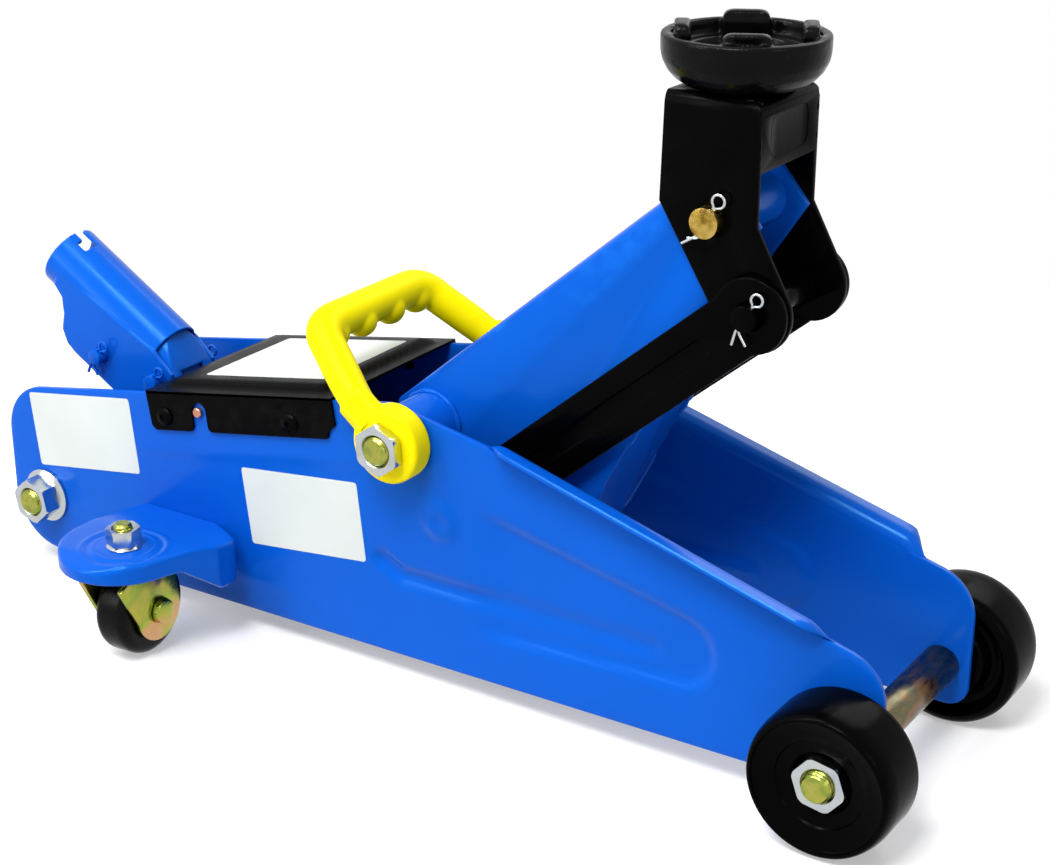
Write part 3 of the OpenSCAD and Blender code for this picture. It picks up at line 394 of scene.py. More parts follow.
def from_node(name):
    """A working copy of a CAD node with its flat faces made whole again."""
    bm = bmesh.new()
    bm.from_mesh(NODES[name].data)
    bm.transform(Matrix.Scale(1 / MM, 4))
    bmesh.ops.remove_doubles(bm, verts=bm.verts, dist=0.003)
    bmesh.ops.dissolve_degenerate(bm, edges=bm.edges, dist=0.003)
    bmesh.ops.dissolve_limit(bm, angle_limit=radians(0.7), use_dissolve_boundaries=False,
                             verts=bm.verts, edges=bm.edges)
    return bm


def piece(name, bm, mat, body, nodes=(), sharp=40):
    """Makes the finished object: smooth faces, sharp edges kept, material and body."""
    for f in bm.faces:
        f.smooth = True
    for e in bm.edges:
        e.smooth = len(e.link_faces) == 2 and e.calc_face_angle(0) < radians(sharp)
    bm.transform(Matrix.Scale(MM, 4))
    obj = mesh_object(name, bm)
    obj.data.materials.append(MATS[mat])
    if isinstance(body, str):
        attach(obj, body)
    else:
        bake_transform(obj)
    if nodes:
        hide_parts(*nodes)
    return obj


def refine(node, mat, body, radius, name=None, angle=38, sharp=40, slot=None):
    """A CAD node rebuilt with rounded edges, named after the node if no name is given."""
    bm = round_edges(from_node(node), radius, angle)
    return piece(name or node + "_skin", bm, mat, body, [node], sharp)


# ---------- materials ----------
def new_material(name):
    mat = bpy.data.materials.new(name)
    mat.use_nodes = True
    mat.node_tree.nodes.clear()
    return mat, mat.node_tree


def add_node(tree, kind, inputs=(), **settings):
    """A shader node with its settings, and with a value or another node's output on its inputs."""
    node = tree.nodes.new("ShaderNode" + kind)
    for key, value in settings.items():
        setattr(node, key, value)
    for key, value in dict(inputs).items():
        if isinstance(value, bpy.types.NodeSocket):
            tree.links.new(value, node.inputs[key])
        else:
            node.inputs[key].default_value = value
    return node


def math_node(tree, operation, a, b):
    return add_node(tree, "Math", {0: a, 1: b}, operation=operation).outputs[0]


def finish_material(name, stops, rough, rough_var=0.06, metal=0.0, coat=0.0, coat_rough=0.06,
                    shine=0.3, tint=(1.0, 1.0, 1.0), patch=14.0, grain=700.0, bump=0.12,
                    depth=0.0001, stretch=(1, 1, 1), wear=None, ior=1.5, chips=0.0):
    """A surface with patchy colour, grain in roughness and relief, and worn edges."""
    mat, tree = new_material(name)
    coords = add_node(tree, "TexCoord")
    mapping = add_node(tree, "Mapping", {"Vector": coords.outputs["Object"], "Scale": stretch})

    def noise_at(scale, detail=3.0):
        return add_node(tree, "TexNoise", {"Vector": mapping.outputs[0], "Scale": scale,
                                           "Detail": detail}).outputs["Fac"]

    def ranged(value, low, high, to_low=0.0, to_high=1.0):
        return add_node(tree, "MapRange", {"Value": value, "From Min": low, "From Max": high,
                                           "To Min": to_low, "To Max": to_high}).outputs[0]

    ramp = add_node(tree, "ValToRGB", {"Fac": noise_at(patch)})
    elements = ramp.color_ramp.elements
    for _ in stops[2:]:
        elements.new(0.5)
    for i, stop in enumerate(stops):
        elements[i].position = 0.32 + 0.36 * i / (len(stops) - 1)
        elements[i].color = (*stop, 1)
    colour = ramp.outputs["Color"]
    if wear:
        geometry = add_node(tree, "NewGeometry")
        edge = ranged(geometry.outputs["Pointiness"], 0.53, 0.61)
        mask = math_node(tree, "MULTIPLY", edge, ranged(noise_at(120.0, 5.0), 0.45, 0.7, 0.0, 0.75))
        if chips:
            chip = ranged(noise_at(210.0, 2.0), 0.74, 0.78, 0.0, chips)
            mask = math_node(tree, "MAXIMUM", mask, chip)
        mix = add_node(tree, "Mix", {"Factor": mask, "A": colour, "B": (*wear, 1)}, data_type="RGBA")
        colour = mix.outputs["Result"]
    gloss = ranged(noise_at(patch * 5, 4.0), 0.3, 0.7, max(0.02, rough - rough_var), rough + rough_var)
    relief = add_node(tree, "Bump", {"Strength": bump, "Distance": depth,
                                     "Height": noise_at(grain, 4.0)}).outputs[0]
    shader = add_node(tree, "BsdfPrincipled", {
        "Base Color": colour, "Metallic": metal, "Roughness": gloss, "IOR": ior, "Normal": relief,
        "Specular IOR Level": shine, "Specular Tint": (*tint, 1.0), "Coat Weight": coat,
        "Coat Roughness": coat_rough})
    if coat:
        tree.links.new(relief, shader.inputs["Coat Normal"])
    add_node(tree, "OutputMaterial", {"Surface": shader.outputs[0]})
    return mat


FINISHES = {
    "blue_paint": dict(
        stops=[(0.001, 0.083, 0.51), (0.002, 0.096, 0.57)], rough=0.20, rough_var=0.05, shine=0.26,
        tint=(0.18, 0.62, 1.0), patch=9, grain=210, bump=0.10, depth=0.0004,
        wear=(0.006, 0.14, 0.66)),
    "blue_casting": dict(
        stops=[(0.004, 0.075, 0.40), (0.006, 0.10, 0.50)], rough=0.45, rough_var=0.1, coat=0.05,
        shine=0.2, patch=60, bump=0.6, depth=0.0006, wear=(0.03, 0.12, 0.5)),
    "black_paint": dict(
        stops=[(0.0006, 0.0006, 0.0007), (0.0012, 0.0012, 0.0014)], rough=0.20, shine=0.025,
        patch=25, grain=260, bump=0.16, depth=0.0004, wear=(0.007, 0.007, 0.0075), chips=0.3),
    "black_cast": dict(
        stops=[(0.0010, 0.0010, 0.0012), (0.0028, 0.0028, 0.003)], rough=0.24, rough_var=0.08, coat=0.03,
        coat_rough=0.1, shine=0.07, patch=40, grain=300, bump=0.25, depth=0.0006,
        wear=(0.03, 0.03, 0.03), chips=0.2),
    "black_cover": dict(
        stops=[(0.0008, 0.0008, 0.0010), (0.0016, 0.0016, 0.0018)], rough=0.28,
        shine=0.03, patch=20, bump=0.25, depth=0.0002, wear=(0.005, 0.005, 0.0055)),
    "yellow_plastic": dict(
        stops=[(0.93, 0.77, 0.0), (0.98, 0.83, 0.001)], rough=0.42, rough_var=0.05, shine=0.07,
        patch=10, grain=800, depth=0.0002, ior=1.46, wear=(1.0, 0.90, 0.03)),
    "zinc_plate": dict(
        stops=[(0.48, 0.52, 0.56), (0.58, 0.61, 0.63), (0.53, 0.55, 0.52)], rough=0.20,
        metal=1.0, patch=90, bump=0.06),
    "copper_end": dict(
        stops=[(0.62, 0.26, 0.16), (0.72, 0.34, 0.22)], rough=0.34, rough_var=0.08,
        metal=1.0, patch=150, bump=0.2, wear=(0.8, 0.5, 0.4)),
    "bolt_end": dict(
        stops=[(0.34, 0.38, 0.05), (0.46, 0.44, 0.09), (0.28, 0.36, 0.06), (0.40, 0.27, 0.08)],
        rough=0.26, rough_var=0.08, metal=1.0, patch=160, grain=800, bump=0.12),
    "yellow_chromate": dict(
        stops=[(0.62, 0.34, 0.16), (0.40, 0.42, 0.06), (0.30, 0.38, 0.06), (0.48, 0.40, 0.07),
               (0.66, 0.28, 0.16)], rough=0.27, rough_var=0.1,
        metal=1.0, patch=38, grain=800, bump=0.15, wear=(0.78, 0.46, 0.26)),
    "bronze_bar": dict(
        stops=[(0.10, 0.085, 0.06), (0.26, 0.13, 0.06), (0.12, 0.12, 0.07), (0.34, 0.19, 0.09)],
        rough=0.30, rough_var=0.1,
        metal=1.0, patch=30, grain=900, bump=0.18, stretch=(3, 1, 3)),
    "copper_plate": dict(
        stops=[(0.20, 0.12, 0.02), (0.46, 0.30, 0.05), (0.62, 0.44, 0.12)], rough=0.26, rough_var=0.1,
        metal=1.0, patch=260, bump=0.5, depth=0.0003, wear=(0.85, 0.76, 0.52)),
    "spring_steel": dict(
        stops=[(0.16, 0.16, 0.165), (0.26, 0.26, 0.27)], rough=0.32, rough_var=0.08, metal=1.0,
        patch=200, grain=1500, bump=0.1),
    "bare_steel": dict(
        stops=[(0.40, 0.40, 0.41), (0.52, 0.52, 0.53)], rough=0.36, rough_var=0.1, metal=1.0, patch=70,
        grain=1200, bump=0.2, stretch=(1, 1, 4), wear=(0.6, 0.6, 0.62)),
    "ground_steel": dict(
        stops=[(0.62, 0.63, 0.65), (0.72, 0.72, 0.73)], rough=0.16, rough_var=0.05, metal=1.0,
        patch=60, grain=1500, bump=0.08, stretch=(1, 1, 6)),
    "seal_rubber": dict(
        stops=[(0.03, 0.015, 0.01), (0.05, 0.025, 0.018)], rough=0.6, rough_var=0.08, patch=90,
        grain=1000, bump=0.2, depth=0.0002),
    "black_plastic": dict(
        stops=[(0.0015, 0.0015, 0.0018), (0.003, 0.003, 0.0033)], rough=0.26, rough_var=0.08,
        coat=0.03, coat_rough=0.2, shine=0.08, patch=50, grain=500, bump=0.3, depth=0.0003,
        wear=(0.02, 0.02, 0.02)),
    "bare_label": dict(
        stops=[(0.58, 0.62, 0.60), (0.64, 0.68, 0.66)], rough=0.42, shine=0.15,
        patch=18, grain=1400, bump=0.1, depth=0.00005),
}
MATS = {name: finish_material(name, **finish) for name, finish in FINISHES.items()}


# ---------- side plates ----------
REAR_R, REAR_TOP_Z = 25, 87
REAR_C = (behind(401), REAR_TOP_Z - REAR_R * cos(EDGE_SLOPE))
REAR_EDGE_X = REAR_C[0] - REAR_R * sin(EDGE_SLOPE)
LIP_FRONT = (behind(9), AXLE_Z + 42)
LIP_KNEE = (LIP_FRONT[0] - 150.2, LIP_FRONT[1] + 150.2 * LIP_SLOPE)
PANEL = arc((behind(72), 50), 15, -90, 78, 14) + [(behind(168), 86), (behind(178), 60), (behind(168), 30)]
GROOVE = [(behind(212), 52), (behind(203), 47), (behind(85), 47)]


def rear_edge_z(x):
    """Height of the sloping top edge behind the pivot."""
    return REAR_TOP_Z + (x - REAR_EDGE_X) * tan(EDGE_SLOPE)


PLATE_OUTLINE = (
    arc((AXLE_X + 3, 21), 9, -90, 0, 8) + arc((AXLE_X - 8, AXLE_Z + 21), 20, 0, 72, 14)
    + [LIP_FRONT, LIP_KNEE] + arc((PIVOT[0] - 4, PIVOT[1]), 14, 70, 100, 6)
    + [(behind(235), rear_edge_z(behind(235)))]
    + arc(REAR_C, REAR_R, 90 + EDGE_DEG, 180, 14) + arc((REAR_C[0], 33), REAR_R, 180, 270, 14))


def plate_relief(x, z):
    """Height of the pressed shapes above the flat plate: tongue panel, hooked groove, boss, crease."""
    p = (x, z)
    panel = step(edge_distance(p, PANEL) / 3.0 + 0.35)
    panel *= step((x - behind(172)) / 26)
    groove = min(line_distance(p, a, b) for a, b in zip(GROOVE, GROOVE[1:]))
    h = -2.0 * panel - 2.1 * step((4.6 - groove) / 2.4) * (1 - 0.5 * panel)
    r = hypot(x - LINK_PIVOT[0], z - LINK_PIVOT[1])
    h += 1.5 * step((9.5 - r) / 3.5) - 0.7 * step((4.2 - r) / 2.0)
    crease = line_distance(p, (behind(342), 72), (behind(224), 93))
    h += 0.45 * exp(-(crease / 2.6) ** 2)
    rise = line_distance(p, (behind(330), 30), (behind(250), 22))
    return h + 0.25 * exp(-(rise / 4.0) ** 2)


def circle(c, r, n=28):
    return arc(c, r, 0, 360, n)[:-1]


BOLT_R, THREAD_R, WRENCH = 6.0, 6.05, 19.0
holes = [circle((AXLE_X, AXLE_Z), 7.1), circle(PIVOT, BOLT_R + 0.1), circle(TIE, BOLT_R + 0.1),
         circle(ANCHOR, 2.4, 14)]
plate = sheet(PLATE_OUTLINE, plate_relief, HALF_IN, HALF_OUT, holes, gap=2.6)
round_edges(plate, 0.45, 50)


def lip_mesh():
    """The turned-out lip on the front slope, growing out of the plate's edge and fading at both ends."""
    rows, length, count = [], 152.0, 76
    bend_y, outer, inner = HALF_OUT + 3.8, 6.2, 3.9
    inside, outside = HALF_OUT - 2.4, HALF_OUT - 0.1
    root = (inside + outside) / 2
    for i in range(count + 1):
        t = length * i / count
        x, z = LIP_FRONT[0] - t, LIP_FRONT[1] + t * LIP_SLOPE
        grow = step(t / 9) * step((length - t) / 12)
        wide = 4.0 * sqrt(max(0.0, 1 - (1 - min(1, t / 14)) ** 2)) * step((length - t) / 16)
        end = bend_y + wide
        section = [(inside + 0.02, -3), (inside, -0.3)] + arc((bend_y, 0), outer, 180, 90, 6)
        section += [(end - 0.6, outer), (end, outer - 0.6), (end, inner + 0.6), (end - 0.6, inner)]
        section += arc((bend_y, 0), inner, 90, 180, 6) + [(outside, -0.3), (outside - 0.02, -3)]
        row = []
        for y, u in section:
            if u > 0:
                y, u = root + (y - root) * grow, u * grow
            row.append((x - u * sin(radians(LIP_DEG)) * 0.4, y, z + u))
        rows.append(row)
    return tidy(new_mesh([p for row in rows for p in row], row_faces(len(rows), len(rows[0]))))


plate = join(plate, lip_mesh())
piece("side_plate_right_skin", mirrored(plate), "blue_paint", "frame", ["side_plate_right"])
piece("side_plate_left_skin", plate, "blue_paint", "frame", ["side_plate_left"])

STICKERS = {
    "rear_sticker": [(411.6, 83.5), (349.6, 93.2), (345.7, 58.4), (407.6, 48.9)],
    "side_sticker": [(286.0, 75.6), (224.1, 82.9), (220.2, 48.2), (281.6, 41.2)],
}
for name, corners in STICKERS.items():
    shape = fillet([(behind(d), z) for d, z in corners], 1.6)
    label = sheet(shape, plate_relief, HALF_OUT + 0.02, HALF_OUT + 0.14, gap=3.0)
    piece(name, mirrored(label), "bare_label", "frame")
    label.free()


# ---------- wheels and turned parts ----------
def threaded(at, r, length, pitch=1.5, axis="Y", n=32):
    """A cut screw thread with a chamfered end, growing from a point along an axis."""
    steps_per_turn, depth = 5, 0.75
    rows = int(length / pitch * steps_per_turn)
    points = []
    for i in range(rows + 1):
        h = length * i / rows
        for k in range(n):
            wave = abs(((h / pitch - k / n) % 1.0) * 2 - 1)
            radius = r - depth + depth * min(1.0, wave * 1.35)
            radius = min(radius, r - max(0.0, h - length + 1.2) * 0.8)
            points.append(turned(radius, 2 * pi * k / n, h, at, axis))
    bm = new_mesh(points, row_faces(rows + 1, n))
    bmesh.ops.recalc_face_normals(bm, faces=bm.faces)
    return bm


def nut(at, inner, flats, height, axis="Y", turn=0.0, flange=0.0, flange_t=0.0):
    """A hexagon nut with chamfered crowns, a bored thread mouth and, if asked for, a flange."""
    across, n = flats / 2, 72
    corner = across * 1.155
    # Each point: radius, height, and whether it stays round instead of following the hexagon
    if flange:
        profile = [(flange - 0.5, 0.0, True), (flange, 0.4, True), (flange, flange_t - 1.0, True),
                   (flange - 1.2, flange_t - 0.2, True), (across * 1.10, flange_t + 0.3, False)]
    else:
        profile = [(across * 0.98, 0.0, True), (corner, 0.9, False)]
    profile += [(corner, (flange_t if flange else 0.0) + 0.9, False), (corner, height - 0.9, False),
                (across * 1.09, height, False), (across * 0.96, height, True),
                (inner + 0.9, height, True), (inner + 0.05, height - 0.9, True),
                (inner + 0.05, 0.5, True), (inner + 0.6, 0.0, True)]
    points = []
    for k in range(n):
        a = 2 * pi * k / n
        hexagon = across / cos((a + pi / 6) % (pi / 3) - pi / 6)
        points += [turned(r if is_round else min(r, hexagon), a + turn, h, at, axis)
                   for r, h, is_round in profile]
    return tidy(new_mesh(points, row_faces(n, len(profile), True)))


def rod(at, stretches, axis="Y", n=48):
    """A turned rod: stretches are (radius, from, to), each end with a small chamfer."""
    profile, chamfer = [], 0.3
    for r, low, high in stretches:
        profile += [(r - chamfer, low), (r, low + chamfer), (r, high - chamfer), (r - chamfer, high)]
    profile += [(0.0, stretches[-1][2]), (0.0, stretches[0][1])]
    return revolve(profile, at, axis, n)


WHEEL_IN, WHEEL_OUT = HALF_OUT + 1.5, HALF_OUT + 29.5
WHEEL_R, HUB_OUT = AXLE_Z, 60.0
TREAD_FALL, TREAD_CURVE = 2.6, 9.5
WHEEL_FACE = [(26.1, 0), (25.7, 0.1), (25.3, 0.9), (24.6, 1.3), (21.0, 2.1), (17.6, 3.3), (17.1, 4.0),
              (16.3, 4.3), (12.3, 4.9), (11.8, 5.4)]
WHEEL_BACK = [(7.05, 0.6), (7.8, 0), (15.2, 0), (16, 0.8), (17.6, 5.4), (19.0, 6.0), (21.4, 5.6),
              (23.6, 1.6), (24.6, 0.5)]
WHEEL_BORE = [(11.6, 3.0), (13.5, 2.8), (13.5, 0.4), (13.0, 0), (8.0, 0), (7.05, -0.8)]
WHEEL = raised(WHEEL_BACK, WHEEL_IN)
WHEEL += arc((WHEEL_R - 5.0, WHEEL_IN + 5.0), 5.0, -80, 0, 8)
WHEEL += [(WHEEL_R - TREAD_FALL * (1 - cos(radians(a))), WHEEL_OUT - TREAD_CURVE * (1 - sin(radians(a))))
          for a in range(9, 90, 9)]
WHEEL += [(r, WHEEL_OUT - d) for r, d in WHEEL_FACE] + raised(WHEEL_BORE, HUB_OUT)
AXLE_AT = (AXLE_X, 0, AXLE_Z)
for side, tag in SIDES:
    piece("wheel_" + tag, revolve(WHEEL, AXLE_AT, "Y", 128, side), "black_paint",
          "front_wheel_" + tag, ["front_wheel_" + tag], sharp=32)

TIE_AT, PIVOT_AT = (TIE[0], 0, TIE[1]), (PIVOT[0], 0, PIVOT[1])


def off_centre(at, y):
    return at[0], y, at[2]


axle = rod(AXLE_AT, [(7.8, -HALF_IN, HALF_IN)])
journals = both(join(rod(AXLE_AT, [(7.0, HALF_IN - 1, HUB_OUT + 0.3)]),
                     threaded(off_centre(AXLE_AT, HUB_OUT - 0.5), BOLT_R, 13.2, 1.75)))
tie = join(rod(TIE_AT, [(BOLT_R, -HALF_OUT - 4, HALF_OUT + 4)]),
           both(threaded(off_centre(TIE_AT, HALF_OUT + 3), BOLT_R, 9.2, 1.75)))
PIVOT_NUT = HALF_OUT + 11.6
pivot_ends = join(rod(PIVOT_AT, [(BOLT_R, HALF_IN - 1, PIVOT_NUT)]),
                  threaded(off_centre(PIVOT_AT, PIVOT_NUT - 0.5), BOLT_R, 6.5))
pivot = join(rod(PIVOT_AT, [(8.0, -HALF_IN, HALF_IN)]), both(pivot_ends))
piece("axle_skin", axle, "bronze_bar", "frame", ["front_axle"], 50)
piece("axle_ends", journals, "bolt_end", "frame", (), 50)
piece("tie_skin", tie, "bolt_end", "frame", ["tie_rod"], 50)
piece("pivot_skin", pivot, "bolt_end", "frame", ["pivot_shaft"], 50)

axle_nut = nut(off_centre(AXLE_AT, 61.9), THREAD_R, WRENCH, 7.8, turn=0.35)
tie_nut = nut(off_centre(TIE_AT, HALF_OUT), THREAD_R, 18.5, TIE_NUT_H, turn=0.2, flange=12.5, flange_t=2.4)
pivot_nut = nut(off_centre(PIVOT_AT, PIVOT_NUT), THREAD_R, WRENCH, 5.0, turn=0.1)
for node, bm in (("axle_nuts", axle_nut), ("tie_nuts", tie_nut), ("pivot_nuts", pivot_nut)):
    piece(node + "_skin", both(bm), "zinc_plate", "frame", [node], sharp=24)


# ---------- cover, handle ----------
COVER_FRONT = behind(235)
COVER_LEN, COVER_T = 104.0, 1.2
COVER_REAR = COVER_FRONT - COVER_LEN * cos(EDGE_SLOPE)


def on_cover(u, y, h):
    """A point u up the cover's slope from its rear edge, and h above it."""
    z0 = rear_edge_z(COVER_REAR)
    return (COVER_REAR + u * cos(EDGE_SLOPE) - h * sin(EDGE_SLOPE), y,
            z0 + u * sin(EDGE_SLOPE) + h * cos(EDGE_SLOPE))


def cover_h(u, y):
    """Height of the cover's bevelled panel over its flat rim."""
    rim, rise, bevel = 5.0, 3.0, 5.6
    d = min(u - rim, COVER_LEN - rim - u, HALF_OUT - 3 - abs(y))
    return rise * step(d / bevel)


FLANGE = HALF_OUT + 1.3
cover = sheet(rectangle(0.0, COVER_LEN, -FLANGE, FLANGE), cover_h, 0.0, COVER_T, gap=2.6, place=on_cover)


def cover_flange(side):
    """One down-turned side of the cover with its notch over the spring rod."""
    notch = (ANCHOR[0] - COVER_REAR) / cos(EDGE_SLOPE)
    outline = [(0.0, 0.9), (0.0, -14.5), (2.0, -16.5), (notch - 7.2, -16.5), (notch - 5.6, -15.0),
               (notch - 4.4, -6.0), (notch - 1.8, -3.6), (notch + 1.4, -3.6), (notch + 3.4, -6.0),
               (notch + 3.0, -15.0), (notch + 4.6, -16.5), (COVER_LEN - 5.0, -16.5), (COVER_LEN - 4.4, -13.6),
               (COVER_LEN, -10.5), (COVER_LEN, 0.9)]
    outline = fillet(outline, 1.2, 3)
    return sheet(outline, flat, HALF_OUT + 0.12, FLANGE,
                 place=lambda a, b, h: on_cover(a, side * h, b))


FOLD_R = 0.72
cover = join(cover, cover_flange(-1), cover_flange(1))
for side in (-1, 1):
    fold = [on_cover(u, side * (FLANGE - FOLD_R), 0.5) for u in (0.02, 35, 70, COVER_LEN - 0.02)]
    cover = join(cover, sweep(fold, FOLD_R, 16))
piece("cover_skin", cover, "black_cover", "frame", ["cover_plate"], sharp=35)

label_shape = fillet(rectangle(22.0, 90.0, -28.5, 28.5), 2.0)
label = sheet(label_shape, cover_h, COVER_T + 0.02, COVER_T + 0.14, gap=6.0, place=on_cover)
piece("cover_sticker", label, "bare_label", "frame")

screws = []
for d in (327, 257):
    at = (behind(d), 0, rear_edge_z(behind(d)) - 10.5)
    head = raised([(0, 0), (4.1, 0), (4.2, 0.5), (3.6, 1.3), (2.4, 1.8), (1.3, 1.85), (0.9, 0.9),
                   (0, 0.7)], FLANGE)
    shank = rectangle(0, 1.9, HALF_IN - 1.5, FLANGE)
    for side in (-1, 1):
        screws += [revolve(head, at, "Y", 32, side), revolve(shank, at, "Y", 24, side)]
piece("cover_screws_skin", join(*screws), "black_cover", "frame", ["cover_screws"], sharp=30)

ANCHOR_R = box_mm("spring_anchor_rod")[1][2] - ANCHOR[1]
piece("anchor_rod_skin", rod((ANCHOR[0], 0, ANCHOR[1]), [(ANCHOR_R, -HALF_OUT - 2, HALF_OUT + 2)], n=28),
      "copper_end", "frame", ["spring_anchor_rod"])

GRIP_BACK, GRIP_UP = 46, 36
GRIP = (PIVOT[0] - GRIP_BACK, PIVOT[1] + GRIP_UP)
GRIP_HALF, GRIP_R = 32.0, 8.0
EYE_IN, EYE_OUT = HALF_OUT + 0.3, HALF_OUT + 11.3


def bezier(a, b, c, n=10):
    return [Vector(a) * (1 - t) ** 2 + Vector(b) * 2 * t * (1 - t) + Vector(c) * t * t
            for t in [i / n for i in range(n + 1)]]


def toward(a, b, d):
    """The point d from a on the way to b."""
    return Vector(a) + (Vector(b) - Vector(a)).normalized() * d


def handle_mesh():
    """The moulded bail: eyes, arms that turn in, round corners and a grip with finger scallops."""
    mid = (EYE_IN + EYE_OUT) / 2

    def up_arm(share, y=mid):
        return PIVOT[0] - GRIP_BACK * share, y, PIVOT[1] + GRIP_UP * share
    start, knee = (PIVOT[0] - 7, mid, PIVOT[1] + 5.5), up_arm(0.36, mid - 0.2)
    end = (GRIP[0], GRIP_HALF + 2.5, GRIP[1])
    path = [Vector(start)]
    path += bezier(toward(knee, start, 8), knee, toward(knee, end, 12))
    path += bezier(toward(end, knee, 9), end, (GRIP[0], GRIP_HALF - 8, GRIP[1]), 14)
    path.append(Vector((GRIP[0], 0, GRIP[1])))
    eye = [(0, EYE_IN), (15.0, EYE_IN), (15.8, EYE_IN + 0.8), (15.8, EYE_OUT - 1.4), (14.4, EYE_OUT),
           (0, EYE_OUT)]
    parts = []
    for side in (-1, 1):
        line = [Vector((p.x, p.y * side, p.z)) for p in path]
        parts.append(sweep(line, lambda t: 6.5 + 1.4 * step(t * 1.3), 24))
        boss = [up_arm(share, side * mid) for share in (0.1, 0.28, 0.42)]
        parts.append(sweep(boss, (5.3, 8.6), 24, up=Vector((0, 1, 0))))
        parts.append(revolve(eye, PIVOT_AT, "Y", 64, side))
    ridge_drop, pitch, lean = GRIP_R * 0.54, 19.5, radians(60)
    for k in (-1.45, -0.5, 0.5, 1.45):
        at = (GRIP[0] + ridge_drop * cos(lean), k * pitch, GRIP[1] - ridge_drop * sin(lean))
        parts.append(ball(at, GRIP_R * 0.88))
    bm = soften(join(*parts), 0.75, 6)
    bm = cut(bm, revolve(rectangle(0, THREAD_R, -80, 80), PIVOT_AT, "Y", 48))
    low, high = EYE_OUT - 0.05, EYE_OUT + 3
    for side in (-1, 1):
        bm = cut(bm, revolve(rectangle(0, 11.6, low, high), PIVOT_AT, "Y", 48, side))
    return bm


piece("handle_skin", handle_mesh(), "yellow_plastic", "carry_handle", ["carry_handle"], sharp=45)


# ---------- lift arm, links, head ----------
ARM_ANGLE = atan2(HEAD_PIN[1] - PIVOT[1], HEAD_PIN[0] - PIVOT[0])
ARM_C, ARM_S = cos(ARM_ANGLE), sin(ARM_ANGLE)
ARM_LEN = hypot(HEAD_PIN[1] - PIVOT[1], HEAD_PIN[0] - PIVOT[0])
ARM_OUT, ARM_TOP = 20.5, 16.4


def arm_frame(p):
    """A point's place along the arm and square to it."""
    x, z = p[0] - PIVOT[0], p[2] - PIVOT[1]
    return x * ARM_C + z * ARM_S, -x * ARM_S + z * ARM_C


def arm_point(u, y, w):
    return (PIVOT[0] + u * ARM_C - w * ARM_S, y, PIVOT[1] + u * ARM_S + w * ARM_C)


def weld(path, r, seed, closed=False, amount=0.28):
    """A weld bead: overlapping ripples with an uneven width."""
    dense_path, path = [], [Vector(p) for p in path]
    for a, b in zip(path, path[1:] + ([path[0]] if closed else [])):
        n = max(1, int((b - a).length / 0.7))
        dense_path += [a.lerp(b, i / n) for i in range(n)]
    if not closed:
        dense_path.append(path[-1])
    total = len(dense_path)

    def radius(t):
        i = t * total
        ripple = abs(sin(i * 0.62 + 0.8 * noise.noise((i * 0.11, seed, 0))))
        lump = 1 + amount * noise.noise((i * 0.17, seed * 3.1, 1))
        ends = 1.0 if closed else min(1.0, 0.45 + min(t, 1 - t) * total * 0.12)
        return r * lump * (0.86 + 0.18 * ripple) * ends
    return sweep(dense_path, radius, 10, closed)


def arm_top_edge(a, b):
    return all(abs(arm_frame(p)[1] - ARM_TOP) < 0.4 and abs(abs(p.y) - ARM_OUT) < 0.1 for p in (a, b))


arm = from_node("lift_arm")
round_edges(arm, 4.0, pick=arm_top_edge, segments=6)
round_edges(arm, 0.5)
LOW_WELDS = ((0.05, 0.26), (0.42, 0.60), (0.74, 0.84))
beads = []
for side in (-1, 1):
    ring = [(x, side * 21.2, z) for x, z in circle(PIVOT, 13.2, 60)]
    beads.append(weld(ring, 1.25, side + 5, True))
    rear = Vector(arm_point(22.3, side * 19.2, -73.4))
    front = Vector(arm_point(ARM_LEN - 9.8, side * 19.2, -20.6))
    for i, (a, b) in enumerate(LOW_WELDS):
        beads.append(weld([rear.lerp(front, a), rear.lerp(front, b)], 1.1, side + 9 + i))
piece("arm_skin", arm, "blue_paint", "arm", ["lift_arm"], sharp=34)
piece("arm_welds", join(*beads), "blue_paint", "arm", sharp=60)



def link_outer_edge(a, b):
    return abs(abs((a.y + b.y) / 2) - LINK_OUT) < 0.3


LINK_OUT = 26.8
for side, tag in SIDES:
    link = from_node("link_" + tag)
    round_edges(link, 0.8, pick=link_outer_edge, segments=3)
    round_edges(link, 0.4)
    piece("link_skin_" + tag, link, "black_paint", "links", ["link_" + tag], sharp=34)

HEAD_LOW, HEAD_HIGH = box_mm("head_bracket")
HEAD_OUT = HEAD_HIGH[1]
HEAD_FRONT = HEAD_LOW[0] + 39.5


def head_fold(a, b):
    return all(abs(p.z - HEAD_HIGH[2]) < 0.3 and abs(abs(p.y) - HEAD_OUT) < 0.1 for p in (a, b))


def head_corner(a, b):
    """The upright edges where the front web meets the sides, and its top edge."""
    return all(abs(p.x - HEAD_FRONT) < 0.3 and p.z > HEAD_PIN[1] + 2 for p in (a, b))


